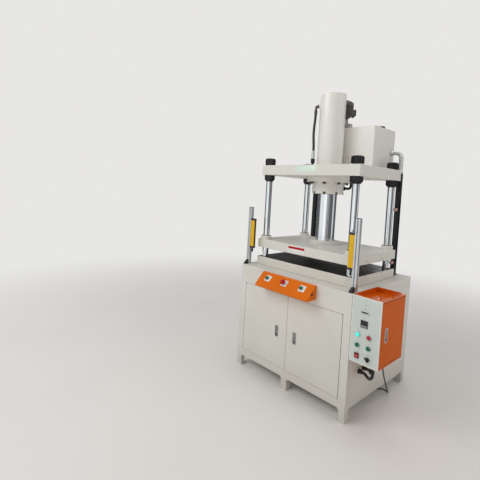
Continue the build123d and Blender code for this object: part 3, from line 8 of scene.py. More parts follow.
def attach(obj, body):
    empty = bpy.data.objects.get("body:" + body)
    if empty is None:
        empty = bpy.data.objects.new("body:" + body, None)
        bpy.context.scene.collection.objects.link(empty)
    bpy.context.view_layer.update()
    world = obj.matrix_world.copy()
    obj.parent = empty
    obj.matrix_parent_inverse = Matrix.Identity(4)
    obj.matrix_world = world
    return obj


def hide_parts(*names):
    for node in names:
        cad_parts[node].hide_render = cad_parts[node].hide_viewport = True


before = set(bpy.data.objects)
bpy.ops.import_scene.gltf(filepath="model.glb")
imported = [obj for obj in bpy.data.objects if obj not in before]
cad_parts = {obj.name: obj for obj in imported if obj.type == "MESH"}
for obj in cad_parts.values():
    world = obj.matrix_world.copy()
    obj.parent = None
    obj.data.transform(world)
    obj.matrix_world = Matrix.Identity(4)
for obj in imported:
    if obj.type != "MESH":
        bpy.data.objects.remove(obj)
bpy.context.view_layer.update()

# Looks of the four-column press. Shapes are worked out in millimetres in the part's own frame,
# +Z up, +X to the operator's right and -Y towards the operator, and go into the meshes in metres.

TURN = 2 * math.pi

# Directions, and places in millimetres

UP, DOWN = (0, 0, 1), (0, 0, -1)
RIGHT, LEFT = (1, 0, 0), (-1, 0, 0)
FRONT, BACK = (0, -1, 0), (0, 1, 0)
SLOPE = (0, -1, 1)                       # out of the two-hand box's face and of the post brackets
SIDES = (-1, 1)
AXIS_Y = -30                             # middle of the ram and between the columns
FACE_Y = -440                            # front of the doors and of the control panel
PLATES_Y = -335                          # front of the crown and of the slide
SLOPE_Y, SLOPE_Z = -491.136, 802.864     # middle of the two-hand box's face
POST_X, POST_Y = 491, -389
CURTAIN_X = 456
HOSE_XY = (-98.095, -118.325)
LOCK = (0, -27, 0)                       # a latch's lock, seen from the middle of its paddle
BUTTON_ROW = (-173.0, -12.0, 149.0)
ROUND_SPOTS = ((565.0, 612.0), (638.0, 612.0), (565.0, 546.0), (638.0, 546.0))
ROCKER_SPOT, SELECTOR_SPOT = (565, 478), (638, 478)
TIMER_SPOT, COUNTER_SPOT = (601, 684), (601, 757)
COIL_X, COIL_Y = 330.0, 527.0
COIL_OUTER, COIL_INNER = 59.3, 49.7      # radii of the coil's outer and inner turns
PLUG_X, PLUG_Y, PLUG_Z = 276, 586.5, 13.3
KNOB_TURN = 45                           # degrees
ROCKER_TILT = 7


# Numbers and nodes

def math_node(operation, swapped=False):
    """A method that adds one Math node; swapped puts the other value first."""
    def method(self, other=0.0):
        first, second = (other, self) if swapped else (self, other)
        return self.graph.node("Math", {"operation": operation}, {0: first, 1: second})
    return method


class Wire:
    """A socket that can stand in a sum or product; every operator adds one Math node."""

    def __init__(self, graph, socket):
        self.graph = graph
        self.socket = socket

    __add__, __radd__ = math_node("ADD"), math_node("ADD", swapped=True)
    __sub__, __rsub__ = math_node("SUBTRACT"), math_node("SUBTRACT", swapped=True)
    __mul__, __rmul__ = math_node("MULTIPLY"), math_node("MULTIPLY", swapped=True)
    __pow__ = math_node("POWER")
    least, most = math_node("MINIMUM"), math_node("MAXIMUM")
    size = math_node("ABSOLUTE")
    bearing = math_node("ARCTAN2", swapped=True)    # of the point (self, other), in radians either way

    def band(self, low, high, soft):
        """One between low and high, zero elsewhere, with an edge of twice soft."""
        return self.ease(low - soft, low + soft) - self.ease(high - soft, high + soft)

    def ease(self, low, high):
        """Zero below low, one above high, and a smooth climb between them."""
        return self.graph.node("MapRange", {"interpolation_type": "SMOOTHSTEP"},
                               {0: self, 1: low, 2: high, 3: 0.0, 4: 1.0})

    def output(self, name):
        """Another output of the same node."""
        return Wire(self.graph, self.socket.node.outputs[name])


class Graph:
    """The nodes of one material, or of the world where its tree is given."""

    def __init__(self, name, tree=None):
        if tree is None:
            self.material = bpy.data.materials.new(name)
            self.material.use_nodes = True
        self.tree = tree or self.material.node_tree
        self.tree.nodes.clear()
        self.here = self.node("TexCoord", output="Object")
        self.x = self.node("SeparateXYZ", inputs={0: self.here})
        self.y = self.x.output("Y")
        self.z = self.x.output("Z")

    def node(self, kind, settings=None, inputs=None, output=0):
        """One node: its settings first, then the values or links of its sockets."""
        made = self.tree.nodes.new("ShaderNode" + kind)
        for key, value in (settings or {}).items():
            setattr(made, key, value)
        for key, value in (inputs or {}).items():
            if isinstance(value, Wire):
                self.tree.links.new(value.socket, made.inputs[key])
            else:
                made.inputs[key].default_value = value
        return None if output is None else Wire(self, made.outputs[output])

    def vector(self, x, y, z):
        """Three values as one place, often the part's own place stretched along an axis."""
        return self.node("CombineXYZ", inputs={0: x, 1: y, 2: z})

    def noise(self, scale, detail=2.0, rough=0.5, at=None):
        """Clouds of values round one half, at the part's own place or at another."""
        sockets = {"Vector": at or self.here, "Scale": scale, "Detail": detail, "Roughness": rough}
        return self.node("TexNoise", inputs=sockets)

    def blend(self, share, first, second):
        """The first colour where share is zero and the second where it is one."""
        return self.node("Mix", {"data_type": "RGBA"}, {0: share, 6: first, 7: second}, output=2)

    def bump(self, height, depth):
        """Height in shares of depth metres, as a change of the normal."""
        return self.node("Bump", inputs={"Strength": 1.0, "Distance": depth, "Height": height})

    def close(self, **inputs):
        """The finish itself; the words of a socket's name are joined by underscores."""
        named = {key.replace("_", " "): value for key, value in inputs.items()}
        surface = self.node("BsdfPrincipled", inputs=named)
        self.node("OutputMaterial", inputs={0: surface}, output=None)
        return self.material


def tone(red, green, blue, share=1.0):
    """A colour from 0-255 screen values, as the linear values that a shader takes."""
    screen = np.array([red, green, blue]) / 255.0
    linear = np.where(screen <= 0.04045, screen / 12.92, ((screen + 0.055) / 1.055) ** 2.4) * share
    return (*linear.tolist(), 1.0)


# Finishes

def powder_coat(name, colour, shade, gloss=0.36, soil=0.35, specular=0.5, peel_depth=0.0001):
    """Sprayed and baked paint: a fine orange peel, slow changes of tone, faint rubs, and dust low down."""
    g = Graph(name)
    slow = g.noise(2.1, 3.0, 0.55)
    cloud = g.noise(11.0, 4.0, 0.6)
    peel = g.noise(520.0, 1.5, 0.45)
    rub = g.noise(26.0, 5.0, 0.62, g.vector(g.x, g.y, g.z * 0.22))
    low = 1.0 - g.z.ease(0.0, 0.28)
    grime = (low * 0.55 + cloud.ease(0.56, 0.80) * 0.18) * soil
    body = g.blend(slow.ease(0.35, 0.68) * 0.5, colour, shade)
    body = g.blend(grime, body, tone(128, 116, 100))
    rough = gloss + cloud.ease(0.3, 0.8) * 0.09 + rub.ease(0.60, 0.72) * 0.10 + low * 0.15
    return g.close(Base_Color=body, Roughness=rough, Normal=g.bump(peel, peel_depth),
                   Specular_IOR_Level=specular)


def machined_table():
    """Ground steel top with fine crossed grinding lines and darker oil stains, paint round the edges."""
    g = Graph("table_finish")
    top = g.z.ease(0.91985, 0.91995)
    across = ((g.x.size() - 0.2).size() ** 2.0 + ((g.y + 0.03).size() - 0.15).size() ** 2.0) ** 0.5
    hole = 1.0 - across.ease(0.0074, 0.0078)
    steel = top.most(hole)
    lines = g.noise(1.0, 4.0, 0.7, g.vector(g.x * 34.0, g.y * 1300.0, g.z * 34.0))
    stain = g.noise(5.2, 5.0, 0.6)
    wipe = g.noise(1.0, 3.0, 0.55, g.vector(g.x * 3.0, g.y * 16.0, g.z))
    metal = g.blend(stain.ease(0.38, 0.66), tone(74, 71, 69), tone(48, 46, 45))
    metal = g.blend(lines.ease(0.45, 0.75) * 0.35, metal, tone(96, 93, 91))
    cloud = g.noise(11.0, 4.0, 0.6)
    paint = g.blend(cloud.ease(0.35, 0.7) * 0.5, tone(222, 218, 208), tone(212, 207, 196))
    rough = steel * (0.25 + wipe.ease(0.3, 0.7) * 0.12 + stain.ease(0.4, 0.7) * 0.08) + (1.0 - steel) * 0.38
    peel = g.noise(520.0, 1.5, 0.45)
    height = steel * lines * 0.35 + (1.0 - steel) * peel
    return g.close(Base_Color=g.blend(steel, paint, metal), Metallic=steel * 0.9, Roughness=rough,
                   Normal=g.bump(height, 0.00008))


def hard_chrome():
    """Ground and plated shaft: near-mirror, with very fine rings and a thin, uneven film of oil."""
    g = Graph("hard_chrome")
    rings = g.noise(1.0, 2.0, 0.5, g.vector(g.x * 6.0, g.y * 6.0, g.z * 2400.0))
    film = g.noise(9.0, 4.0, 0.6, g.vector(g.x, g.y, g.z * 0.35))
    body = g.blend(film.ease(0.42, 0.75) * 0.45, tone(214, 216, 220), tone(178, 180, 184))
    rough = 0.045 + film.ease(0.35, 0.75) * 0.07 + rings.ease(0.5, 0.8) * 0.03
    return g.close(Base_Color=body, Metallic=1.0, Roughness=rough, Normal=g.bump(rings, 0.000012))


def black_oxide(name, colour, rubbed, gloss):
    """Chemically blacked steel, a little shiny, with brown-grey rubs."""
    g = Graph(name)
    cloud = g.noise(38.0, 4.0, 0.6)
    grain = g.noise(900.0, 1.0, 0.5)
    body = g.blend(cloud.ease(0.45, 0.75) * 0.6, tone(*colour), tone(*rubbed))
    rough = gloss + cloud.ease(0.35, 0.7) * 0.18
    return g.close(Base_Color=body, Metallic=0.75, Roughness=rough, Normal=g.bump(grain, 0.00003))


def plated(name, colour, shade):
    """Plate or bare metal on a formed part, cloudy and softly bright."""
    g = Graph(name)
    cloud = g.noise(60.0, 3.0, 0.6)
    brush = g.noise(1.0, 3.0, 0.6, g.vector(g.x * 60.0, g.y * 60.0, g.z * 900.0))
    body = g.blend(cloud.ease(0.35, 0.7), tone(*colour), tone(*shade))
    rough = 0.20 + cloud.ease(0.3, 0.7) * 0.12 + brush * 0.05
    return g.close(Base_Color=body, Metallic=1.0, Roughness=rough, Normal=g.bump(brush, 0.00002))


def drawn_aluminium():
    """Anodised extrusion: satin, with faint die lines along its length."""
    g = Graph("drawn_aluminium")
    lines = g.noise(1.0, 3.0, 0.65, g.vector(g.x * 1500.0, g.y * 1500.0, g.z * 3.0))
    cloud = g.noise(14.0, 3.0, 0.5)
    body = g.blend(lines.ease(0.35, 0.7) * 0.5, tone(206, 208, 210), tone(186, 188, 192))
    body = g.blend(cloud.ease(0.5, 0.8) * 0.25, body, tone(168, 168, 170))
    rough = 0.32 + lines * 0.10
    return g.close(Base_Color=body, Metallic=0.65, Roughness=rough, Normal=g.bump(lines, 0.00002))


def cast_metal(name, light, dark, metallic):
    """A casting: blasted grain, tone that gathers in patches."""
    g = Graph(name)
    grain = g.noise(420.0, 3.0, 0.6)
    patch = g.noise(18.0, 4.0, 0.6)
    body = g.blend(patch.ease(0.3, 0.7), tone(*light), tone(*dark))
    rough = 0.46 + grain * 0.16
    return g.close(Base_Color=body, Metallic=metallic, Roughness=rough, Normal=g.bump(grain, 0.00018))


def moulded(name, colour, gloss=0.34, grain_depth=0.00003, glow=0.0, glow_colour=(255, 255, 255),
            dust=0.10, specular=0.5):
    """Moulded plastic: a spark-eroded grain, small changes of gloss and a little dust."""
    g = Graph(name)
    grain = g.noise(1400.0, 1.0, 0.5)
    cloud = g.noise(34.0, 3.0, 0.55)
    speck = g.noise(150.0, 4.0, 0.65)
    body = g.blend(cloud.ease(0.35, 0.75) * 0.3, tone(*colour), tone(*colour, 0.78))
    body = g.blend(speck.ease(0.60, 0.82) * dust, body, tone(176, 168, 156))
    rough = gloss + cloud.ease(0.3, 0.8) * 0.10
    lit = {}
    if glow:
        shine = g.blend(cloud.ease(0.3, 0.8) * 0.2, tone(*glow_colour), tone(*glow_colour, 0.8))
        lit = {"Emission_Color": shine, "Emission_Strength": glow}
    return g.close(Base_Color=body, Roughness=rough, Normal=g.bump(grain, grain_depth),
                   Specular_IOR_Level=specular, **lit)


def rubber():
    """Extruded rubber: a fine skin with scuffs and settled dust."""
    g = Graph("cord_sheath")
    skin = g.noise(700.0, 2.0, 0.55)
    scuff = g.noise(60.0, 5.0, 0.65)
    body = g.blend(scuff.ease(0.48, 0.78) * 0.55, tone(30, 29, 29), tone(70, 67, 63))
    rough = 0.46 + scuff.ease(0.3, 0.7) * 0.16
    return g.close(Base_Color=body, Roughness=rough, Normal=g.bump(skin, 0.00006))


def panel_film():
    """The control panel: an off-white margin round a grey-green field, with a fine matt grain."""
    g = Graph("panel_film")
    wide = (g.x - 0.609).size()
    high = (g.z - 0.640).size()
    inside = (1.0 - wide.ease(0.0885, 0.0895)) * (1.0 - high.ease(0.2010, 0.2020))
    cloud = g.noise(16.0, 3.0, 0.5)
    grain = g.noise(900.0, 1.5, 0.5)
    field = g.blend(cloud.ease(0.3, 0.75) * 0.5, tone(211, 219, 214), tone(203, 211, 206))
    edge = g.blend(cloud.ease(0.3, 0.75) * 0.5, tone(230, 230, 224), tone(222, 222, 215))
    rough = 0.40 + inside * 0.08 + grain * 0.05
    return g.close(Base_Color=g.blend(inside, edge, field), Roughness=rough, Normal=g.bump(grain, 0.00004))


def smoked_glass():
    """A dark, glossy window with a trace of finger grease."""
    g = Graph("smoked_window")
    grease = g.noise(120.0, 4.0, 0.6)
    body = g.blend(grease.ease(0.4, 0.8) * 0.4, tone(16, 15, 18), tone(34, 30, 34))
    return g.close(Base_Color=body, Roughness=0.07 + grease.ease(0.4, 0.8) * 0.10)


CREAM = powder_coat("cream_powder_coat", tone(224, 222, 215), tone(215, 213, 204))
ENAMEL = powder_coat("cream_enamel", tone(235, 233, 228), tone(228, 225, 219), 0.17, 0.08,
                     peel_depth=0.00003)
ORANGE = powder_coat("orange_powder_coat", tone(230, 114, 2), tone(221, 102, 1), 0.30, 0.12,
                     specular=0.15)
# The control box: a glossy orange coat whose colour is made deeper than the two-hand box's, as painted shade
# for the box's side.
GLOSSY_ORANGE_PAINTED_SHADE = powder_coat("glossy_orange_painted_shade", tone(222, 100, 1), tone(211, 90, 1), 0.04, 0.12,
                   specular=0.4, peel_depth=0.000004)
# The control box's side door: the same orange made deeper still, as painted shade for that side face.
DOOR_ORANGE_PAINTED_SHADE = powder_coat("door_orange_painted_shade", tone(218, 98, 2), tone(207, 88, 1), 0.36, 0.12,
                   specular=0.07)
PANEL = panel_film()
TABLE = machined_table()
CHROME = hard_chrome()
OXIDE = black_oxide("black_oxide", (38, 38, 40), (66, 64, 63), 0.27)
NUTS = black_oxide("black_nuts", (38, 38, 40), (60, 58, 57), 0.19)
DARK_STEEL = black_oxide("dark_fitting", (76, 73, 66), (52, 50, 46), 0.22)
ZINC = plated("bright_zinc", (206, 207, 204), (176, 177, 174))
BRONZE = plated("turned_bronze", (196, 150, 88), (168, 122, 66))
CAST = cast_metal("blasted_aluminium", (176, 176, 172), (150, 149, 146), 0.7)
PROFILE = drawn_aluminium()
MOTOR = cast_metal("motor_enamel", (90, 86, 78), (64, 61, 56), 0.2)
BLACK = moulded("black_moulding", (26, 26, 28))
YELLOW = moulded("yellow_coat", (230, 182, 12), 0.30, 0.00002, dust=0.05, specular=0.3)
GREEN = moulded("green_cap", (6, 108, 88), 0.22, 0.00001, dust=0.04, specular=0.35)
RED = moulded("red_cap", (186, 10, 20), 0.30, 0.00001, dust=0.03, specular=0.2)
CRIMSON = moulded("crimson_cap", (176, 24, 52), 0.24, 0.00001, dust=0.04)
CYAN = moulded("lit_lens", (70, 215, 205), 0.18, 0.00001, glow=0.55, glow_colour=(60, 235, 220), dust=0.0)
ROCKER = moulded("lit_rocker", (160, 16, 24), 0.22, 0.00001, glow=0.10, glow_colour=(255, 40, 50),
                 dust=0.02)
GREY = moulded("grey_moulding", (150, 152, 150), 0.42)
PALE = moulded("pale_moulding", (206, 210, 204), 0.40)
LATCH = plated("satin_latch", (150, 150, 147), (124, 124, 121))
FRAME = moulded("bright_frame", (216, 216, 212), 0.24, 0.00001, dust=0.04)
# A near-black matt finish for the disc over each lock's face: painted shade for the inside of the keyhole.
KEYHOLE_SHADE = moulded("keyhole_painted_shade", (10, 10, 11), 0.60, specular=0.15)
SENSOR = moulded("sensor_moulding", (205, 168, 156), 0.40)
RUBBER = rubber()
CONDUIT = moulded("conduit_moulding", (27, 27, 28), 0.38, 0.00004, dust=0.22)
WHITE = moulded("white_plate", (236, 236, 232), 0.36, dust=0.05)
PLATE = moulded("name_plate", (222, 238, 226), 0.32, dust=0.03)
WINDOW = smoked_glass()

finish_of = {
    CREAM: "cabinet_shell side_covers left_door right_door slide_plate guide_bushes ram_flange crown_plate",
    ENAMEL: "cylinder_barrel cylinder_gland oil_tank tank_lid",
    ORANGE: "two_hand_box",
    GLOSSY_ORANGE_PAINTED_SHADE: "control_box",
    DOOR_ORANGE_PAINTED_SHADE: "control_box_door",
    PANEL: "control_panel_plate",
    TABLE: "table_plate",
    CHROME: "columns ram",
    OXIDE: "column_nuts crown_support_nuts sensor_rails post_brackets",
    DARK_STEEL: "cylinder_screws",
    ZINC: ("hinge_pins left_latch_handle right_latch_handle control_latch_handle hose_fittings tank_conduit "
           "motor_rotor"),
    BRONZE: "piston",
    CAST: "pump valve_block",
    PROFILE: "curtain_posts",
    MOTOR: "motor_housing",
    BLACK: "button_bodies cable_glands selector_knob power_plug panel_meters filler_cap estop_stem",
    YELLOW: "light_curtains",
    GREEN: "start_button_left start_button_right green_button_upper green_button_lower",
    RED: "estop_head",
    CRIMSON: "stop_button",
    CYAN: "lit_button",
    ROCKER: "power_rocker",
    GREY: "control_gear",
    SENSOR: "limit_sensors",
    RUBBER: "power_cord cord_coil pressure_hose curtain_cable",
    CONDUIT: "conduit_front conduit_rear",
}
slot_of = {
    CREAM: "cream_paint", CHROME: "hard_chrome", OXIDE: "blackened_steel", NUTS: "blackened_steel",
    ZINC: "zinc_steel", LATCH: "zinc_steel", FRAME: "zinc_steel", PROFILE: "profile_aluminium",
    MOTOR: "motor_paint", BLACK: "black_plastic", PALE: "grey_plastic", YELLOW: "yellow_housing",
    GREEN: "green_cap", RED: "red_cap", CRIMSON: "crimson_cap", CYAN: "lit_cap", ROCKER: "lit_rocker",
    RUBBER: "cord_rubber", CONDUIT: "conduit_plastic",
}
NO_SLOT = ""
for finish, names in finish_of.items():
    for name in names.split():
        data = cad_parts[name].data
        data.materials.clear()
        data.materials.append(finish)


# Shapes on grids

class Form:
    """A closed surface in millimetres: points, four-sided faces, and the faces that close its ends."""

    def __init__(self, points, quads, ends):
        self.points = points
        self.quads = quads
        self.ends = ends

    def __add__(self, other):
        count = len(self.points)
        return Form(np.vstack([self.points, other.points]), np.vstack([self.quads, other.quads + count]),
                    self.ends + [end + count for end in other.ends])

    def placed(self, origin, across=RIGHT, out=UP):
        """Its X axis turned to across, its Z axis to out, and its origin moved to origin."""
        z = np.array(out, float) / np.linalg.norm(out)
        x = np.array(across, float) - np.dot(across, z) * z
        x = x / np.linalg.norm(x)
        axes = np.stack([x, np.cross(z, x), z])
        return Form(self.points @ axes + np.array(origin, float), self.quads, self.ends)

    def turned(self, degrees):
        """Turned about its own Z axis."""
        c, s = math.cos(math.radians(degrees)), math.sin(math.radians(degrees))
        return Form(self.points @ np.array([[c, s, 0], [-s, c, 0], [0, 0, 1]]), self.quads, self.ends)

    def tilted(self, degrees):
        """Turned about its own X axis."""
        c, s = math.cos(math.radians(degrees)), math.sin(math.radians(degrees))
        return Form(self.points @ np.array([[1, 0, 0], [0, c, s], [0, -s, c]]), self.quads, self.ends)


def joined(forms):
    """Several forms as one."""
    return sum(forms[1:], forms[0])


def skin(loops, ring=False):
    """Faces between neighbouring loops of an (m, n, 3) grid; a ring joins its last loop to its first."""
    rows, columns, _ = loops.shape
    ids = np.arange(rows * columns).reshape(rows, columns)
    low = ids if ring else ids[:-1]
    high = np.roll(ids, -1, axis=0) if ring else ids[1:]
    quads = np.stack([low, np.roll(low, -1, 1), np.roll(high, -1, 1), high], axis=-1).reshape(-1, 4)
    return Form(loops.reshape(-1, 3), quads, [] if ring else [ids[0][::-1], ids[-1]])


def around(steps):
    """Angles at an even spacing, once round."""
    return np.arange(steps) * TURN / steps


def rounds(radius, heights, steps):
    """Loops about the Z axis, counter-clockwise, with a radius for each height, or for each point."""
    angle = around(steps)
    rise = np.array(heights, float)[:, None] + np.zeros(steps)
    return np.stack([radius * np.cos(angle), radius * np.sin(angle), rise], axis=-1)


def raised(outlines, heights):
    """Loops from an outline of X and Y pairs, or from one for each height."""
    rise = np.array(heights, float)[:, None, None] + np.zeros((outlines.shape[-2], 1))
    flat = np.broadcast_to(outlines, (len(heights), *outlines.shape[-2:]))
    return np.concatenate([flat, rise], axis=-1)


def lathe(profile, steps=48, ring=False):
    """A profile of (radius, height) pairs turned once round the Z axis."""
    radius, heights = np.array(profile, float).T
    return skin(rounds(radius[:, None], heights, steps), ring)


def rectangle(half_x, half_y, corner, inset, steps=5):
    """A rectangle's outline with quarter-circle corners, pulled in by inset all round."""
    radius = max(corner - inset, 0.02)
    angle = np.linspace(0, TURN / 4, steps)[None, :] + np.arange(4)[:, None] * TURN / 4
    sign_x = np.array([1, -1, -1, 1])[:, None]
    sign_y = np.array([1, 1, -1, -1])[:, None]
    x = sign_x * (half_x - inset - radius) + radius * np.cos(angle)
    y = sign_y * (half_y - inset - radius) + radius * np.sin(angle)
    return np.stack([x.ravel(), y.ravel()], axis=-1)


def plate(half_x, half_y, corner, levels, ring=False):
    """A rounded rectangle at each (inset, height) level, joined from level to level."""
    outlines = [rectangle(half_x, half_y, corner, inset) for inset, _ in levels]
    return skin(raised(np.stack(outlines), [height for _, height in levels]), ring)


def slab(half_x, half_y, corner, low, high, edge):
    """A plate with its outer edges rounded off at both faces."""
    return plate(half_x, half_y, corner, [(edge, low), (edge * 0.3, low + edge * 0.3), (0, low + edge),
                                          (0, high - edge), (edge * 0.3, high - edge * 0.3), (edge, high)])


def flats(across, steps):
    """A hexagon's radius all round: half its width over the cosine of the angle from the nearest flat."""
    return across / 2 / np.cos((around(steps) + TURN / 12) % (TURN / 6) - TURN / 12)


def nut(across, low, high, bore, chamfer, steps=96):
    """A bored hexagon: each radius is the lesser of the flats' and of the turned chamfer's at its height."""
    rise = np.array([0.0, 0.25, 0.6, 1.0])
    limit = across / math.sqrt(3) - chamfer * 1.7 * (1 - rise) ** 1.3
    outer = np.minimum(flats(across, steps)[None, :], np.concatenate([limit, limit[::-1]])[:, None])
    inner = np.full((1, steps), bore)
    heights = [low, *(low + rise * chamfer), *(high - rise[::-1] * chamfer), high, high - 2.0]
    return skin(rounds(np.concatenate([inner, outer, inner + 2.0, inner]), heights, steps), ring=True)


def carried(section, path, across):
    """A section's outline carried along a path; across is a direction that the path never takes."""
    along = np.gradient(path, axis=0)
    along /= np.linalg.norm(along, axis=1)[:, None]
    side = np.cross(np.array(across, float), along)
    side /= np.linalg.norm(side, axis=1)[:, None]
    up = np.cross(along, side)
    sections = section if section.ndim == 3 else np.repeat(section[None], len(path), axis=0)
    return skin(path[:, None] + sections[..., :1] * side[:, None] + sections[..., 1:] * up[:, None])


def circle(radius, steps=24):
    """A round outline; radius may be a list, which gives one outline for each."""
    unit = np.stack([np.cos(around(steps)), np.sin(around(steps))], axis=-1)
    return np.asarray(radius, float)[..., None, None] * unit


def elbow(start, corner, end, bend, steps=16):
    """A path of two straight lines joined by a quarter circle."""
    start, corner, end = (np.array(p, float) for p in (start, corner, end))
    first = (corner - start) / np.linalg.norm(corner - start)
    second = (end - corner) / np.linalg.norm(end - corner)
    angle = np.linspace(0, TURN / 4, steps)[:, None]
    centre = corner - first * bend + second * bend
    arc = centre + bend * (first * np.sin(angle) - second * np.cos(angle))
    return np.vstack([start, arc, end])


def fill(path, spacing):
    """The same path with points at an even spacing."""
    run = np.concatenate([[0], np.cumsum(np.linalg.norm(np.diff(path, axis=0), axis=1))])
    marks = np.linspace(0, run[-1], max(int(run[-1] / spacing), 2) + 1)
    return np.stack([np.interp(marks, run, path[:, i]) for i in range(3)], axis=-1)


def piece(name, form, finish, body="press_frame", stands_for=(), slot=None, crease=32):
    """Make the form an object of the scene, in metres, riding on a body of the part. The slot argument is not
    used."""
    mesh = bpy.data.meshes.new(name)
    faces = form.quads.tolist() + [end.tolist() for end in form.ends]
    mesh.from_pydata((form.points * 0.001).tolist(), [], faces)
    mesh.shade_smooth()
    mesh.set_sharp_from_angle(angle=math.radians(crease))
    mesh.materials.append(finish)
    made = bpy.data.objects.new(name, mesh)
    bpy.context.scene.collection.objects.link(made)
    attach(made, body)
    if slot is None:
        slot = slot_of.get(finish)
    if stands_for:
        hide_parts(*stands_for)
    return made


# Camera

VIEW_SPOT = (1.6459, -2.4809, 1.4693)
VIEW_ANGLES = (47.575, -2.67, 3.13)      # yaw, pitch and roll in degrees
LENS, SENSOR = 26.74, 36.0               # millimetres
LENS_SHIFT = (0.0008, -0.0714)


def set_camera():
    """The photograph's viewpoint, found from the press's own corners."""
    yaw, pitch, roll = (math.radians(a) for a in VIEW_ANGLES)
    ahead = Vector((-math.sin(yaw) * math.cos(pitch), math.cos(yaw) * math.cos(pitch), math.sin(pitch)))
    right = Vector((math.cos(yaw), math.sin(yaw), 0.0))
    up = right.cross(ahead)
    across = right * math.cos(roll) + up * math.sin(roll)
    upward = up * math.cos(roll) - right * math.sin(roll)
    data = bpy.data.cameras.new("viewpoint")
    data.sensor_width = SENSOR
    data.lens = LENS
    data.shift_x, data.shift_y = LENS_SHIFT
    data.clip_start = 0.05
    data.clip_end = 200.0
    camera = bpy.data.objects.new("viewpoint", data)
    axes = Matrix((across, upward, -ahead)).transposed().to_4x4()
    camera.matrix_world = Matrix.Translation(VIEW_SPOT) @ axes
    bpy.context.scene.collection.objects.link(camera)
    bpy.context.scene.camera = camera


set_camera()


# Cords

def cord_line(name, points, radius, finish=None):
    """A curve of one open NURBS spline through its control points, in metres, round in section."""
    data = bpy.data.curves.new(name, "CURVE")
    data.dimensions = "3D"
    data.resolution_u = 6
    data.bevel_depth = radius
    data.bevel_resolution = 5
    data.use_fill_caps = True
    spline = data.splines.new("NURBS")
    spline.points.add(len(points) - 1)
    flat = np.ones((len(points), 4))
    flat[:, :3] = points
    spline.points.foreach_set("co", flat.ravel())
    spline.order_u = 3
    spline.use_endpoint_u = True
    if finish:
        data.materials.append(finish)
    made = bpy.data.objects.new(name, data)
    bpy.context.scene.collection.objects.link(made)
    return made


def read_line(curve):
    """The points of a curve's own line, in millimetres."""
    bare = curve.copy()
    bare.data = curve.data.copy()
    bare.data.bevel_depth = 0.0
    bare.data.resolution_u = 16
    bpy.context.scene.collection.objects.link(bare)
    bpy.context.view_layer.update()
    mesh = bpy.data.meshes.new_from_object(bare.evaluated_get(bpy.context.evaluated_depsgraph_get()))
    points = np.zeros(len(mesh.vertices) * 3)
    mesh.vertices.foreach_get("co", points)
    bpy.data.meshes.remove(mesh)
    bpy.data.objects.remove(bare)
    return points.reshape(-1, 3) * 1000.0


def line_length(points):
    """The length of a line through points."""
    return float(np.linalg.norm(np.diff(points, axis=0), axis=1).sum())


hose_route = [
    (-0.098095, -0.118325, 2.120), (-0.098095, -0.118325, 2.070), (-0.102095, -0.121325, 2.010),
    (-0.104095, -0.122325, 1.940), (-0.101095, -0.120325, 1.885), (-0.098095, -0.118325, 1.845),
    (-0.098095, -0.118325, 1.808),
]
front_route = [
    (0.640, -0.362, 0.404), (0.640, -0.362, 0.372), (0.634, -0.356, 0.334), (0.608, -0.338, 0.309),
    (0.574, -0.313, 0.307), (0.556, -0.299, 0.312), (0.538, -0.299, 0.312),
]
rear_route = [
    (0.604, -0.330, 0.404), (0.604, -0.330, 0.376), (0.602, -0.316, 0.344), (0.588, -0.284, 0.324),
    (0.568, -0.254, 0.318), (0.554, -0.243, 0.318), (0.538, -0.243, 0.318),
]
curtain_route = [
    (0.456, -0.389, 0.953), (0.456, -0.389, 0.936), (0.448, -0.398, 0.920), (0.431, -0.403, 0.904),
    (0.430, -0.408, 0.886), (0.445, -0.411, 0.875), (0.461, -0.412, 0.869), (0.468, -0.412, 0.856),
    (0.468, -0.412, 0.848),
]
mains_route = [
    (0.604, -0.152, 0.396), (0.604, -0.152, 0.352), (0.601, -0.134, 0.288), (0.592, -0.078, 0.210),
    (0.573, 0.000, 0.126), (0.548, 0.084, 0.056), (0.528, 0.140, 0.017), (0.510, 0.170, 0.0048),
    (0.484, 0.180, 0.0048), (0.459, 0.171, 0.0048), (0.442, 0.150, 0.0048), (0.432, 0.108, 0.0048),
    (0.408, 0.046, 0.0048), (0.366, 0.014, 0.0048), (0.318, 0.030, 0.0048), (0.292, 0.084, 0.0048),
    (0.292, 0.174, 0.0048), (0.322, 0.280, 0.0048), (0.362, 0.366, 0.0048), (0.389, 0.440, 0.0048),
    (0.3895, 0.506, 0.0048),
]


def coil_points():
    """The wound spare length: five and a quarter turns, two wide and three high. Radius and height are
    functions of the angle walked, with short ramps from one turn to the next."""
    walked = np.arange(15.0, 1890.1, 15.0)
    radius = np.interp(walked, [280, 340, 1210, 1270], [COIL_OUTER, COIL_INNER, COIL_INNER, COIL_OUTER])
    radius = (radius + 0.5 * np.sin(np.radians(walked * 1.7))) / math.cos(math.radians(7.5))
    height = np.interp(walked, [560, 630, 920, 990, 1535, 1605], [4.8, 14.1, 14.1, 23.3, 23.3, 13.9])
    angle = np.radians(walked)
    x, y = COIL_X + radius * np.cos(angle), COIL_Y + radius * np.sin(angle)
    return np.stack([x, y, height], axis=-1) * 0.001


def ribbed_conduit(name, points, stands_for, radius=9.5, pitch=3.0):
    """A corrugated conduit: a circle whose radius swings as a flattened sine along the read line."""
    line = cord_line(name + "_line", points, 0.0)
    path = fill(read_line(line), 0.6)
    bpy.data.objects.remove(line)
    run = np.arange(len(path)) * line_length(path) / (len(path) - 1)
    wave = np.tanh(1.8 * np.sin(run * TURN / pitch)) / math.tanh(1.8)
    made = piece(name, carried(circle(radius - 0.8 + 0.8 * wave, 20), path, BACK), CONDUIT,
                 stands_for=[stands_for], crease=80)


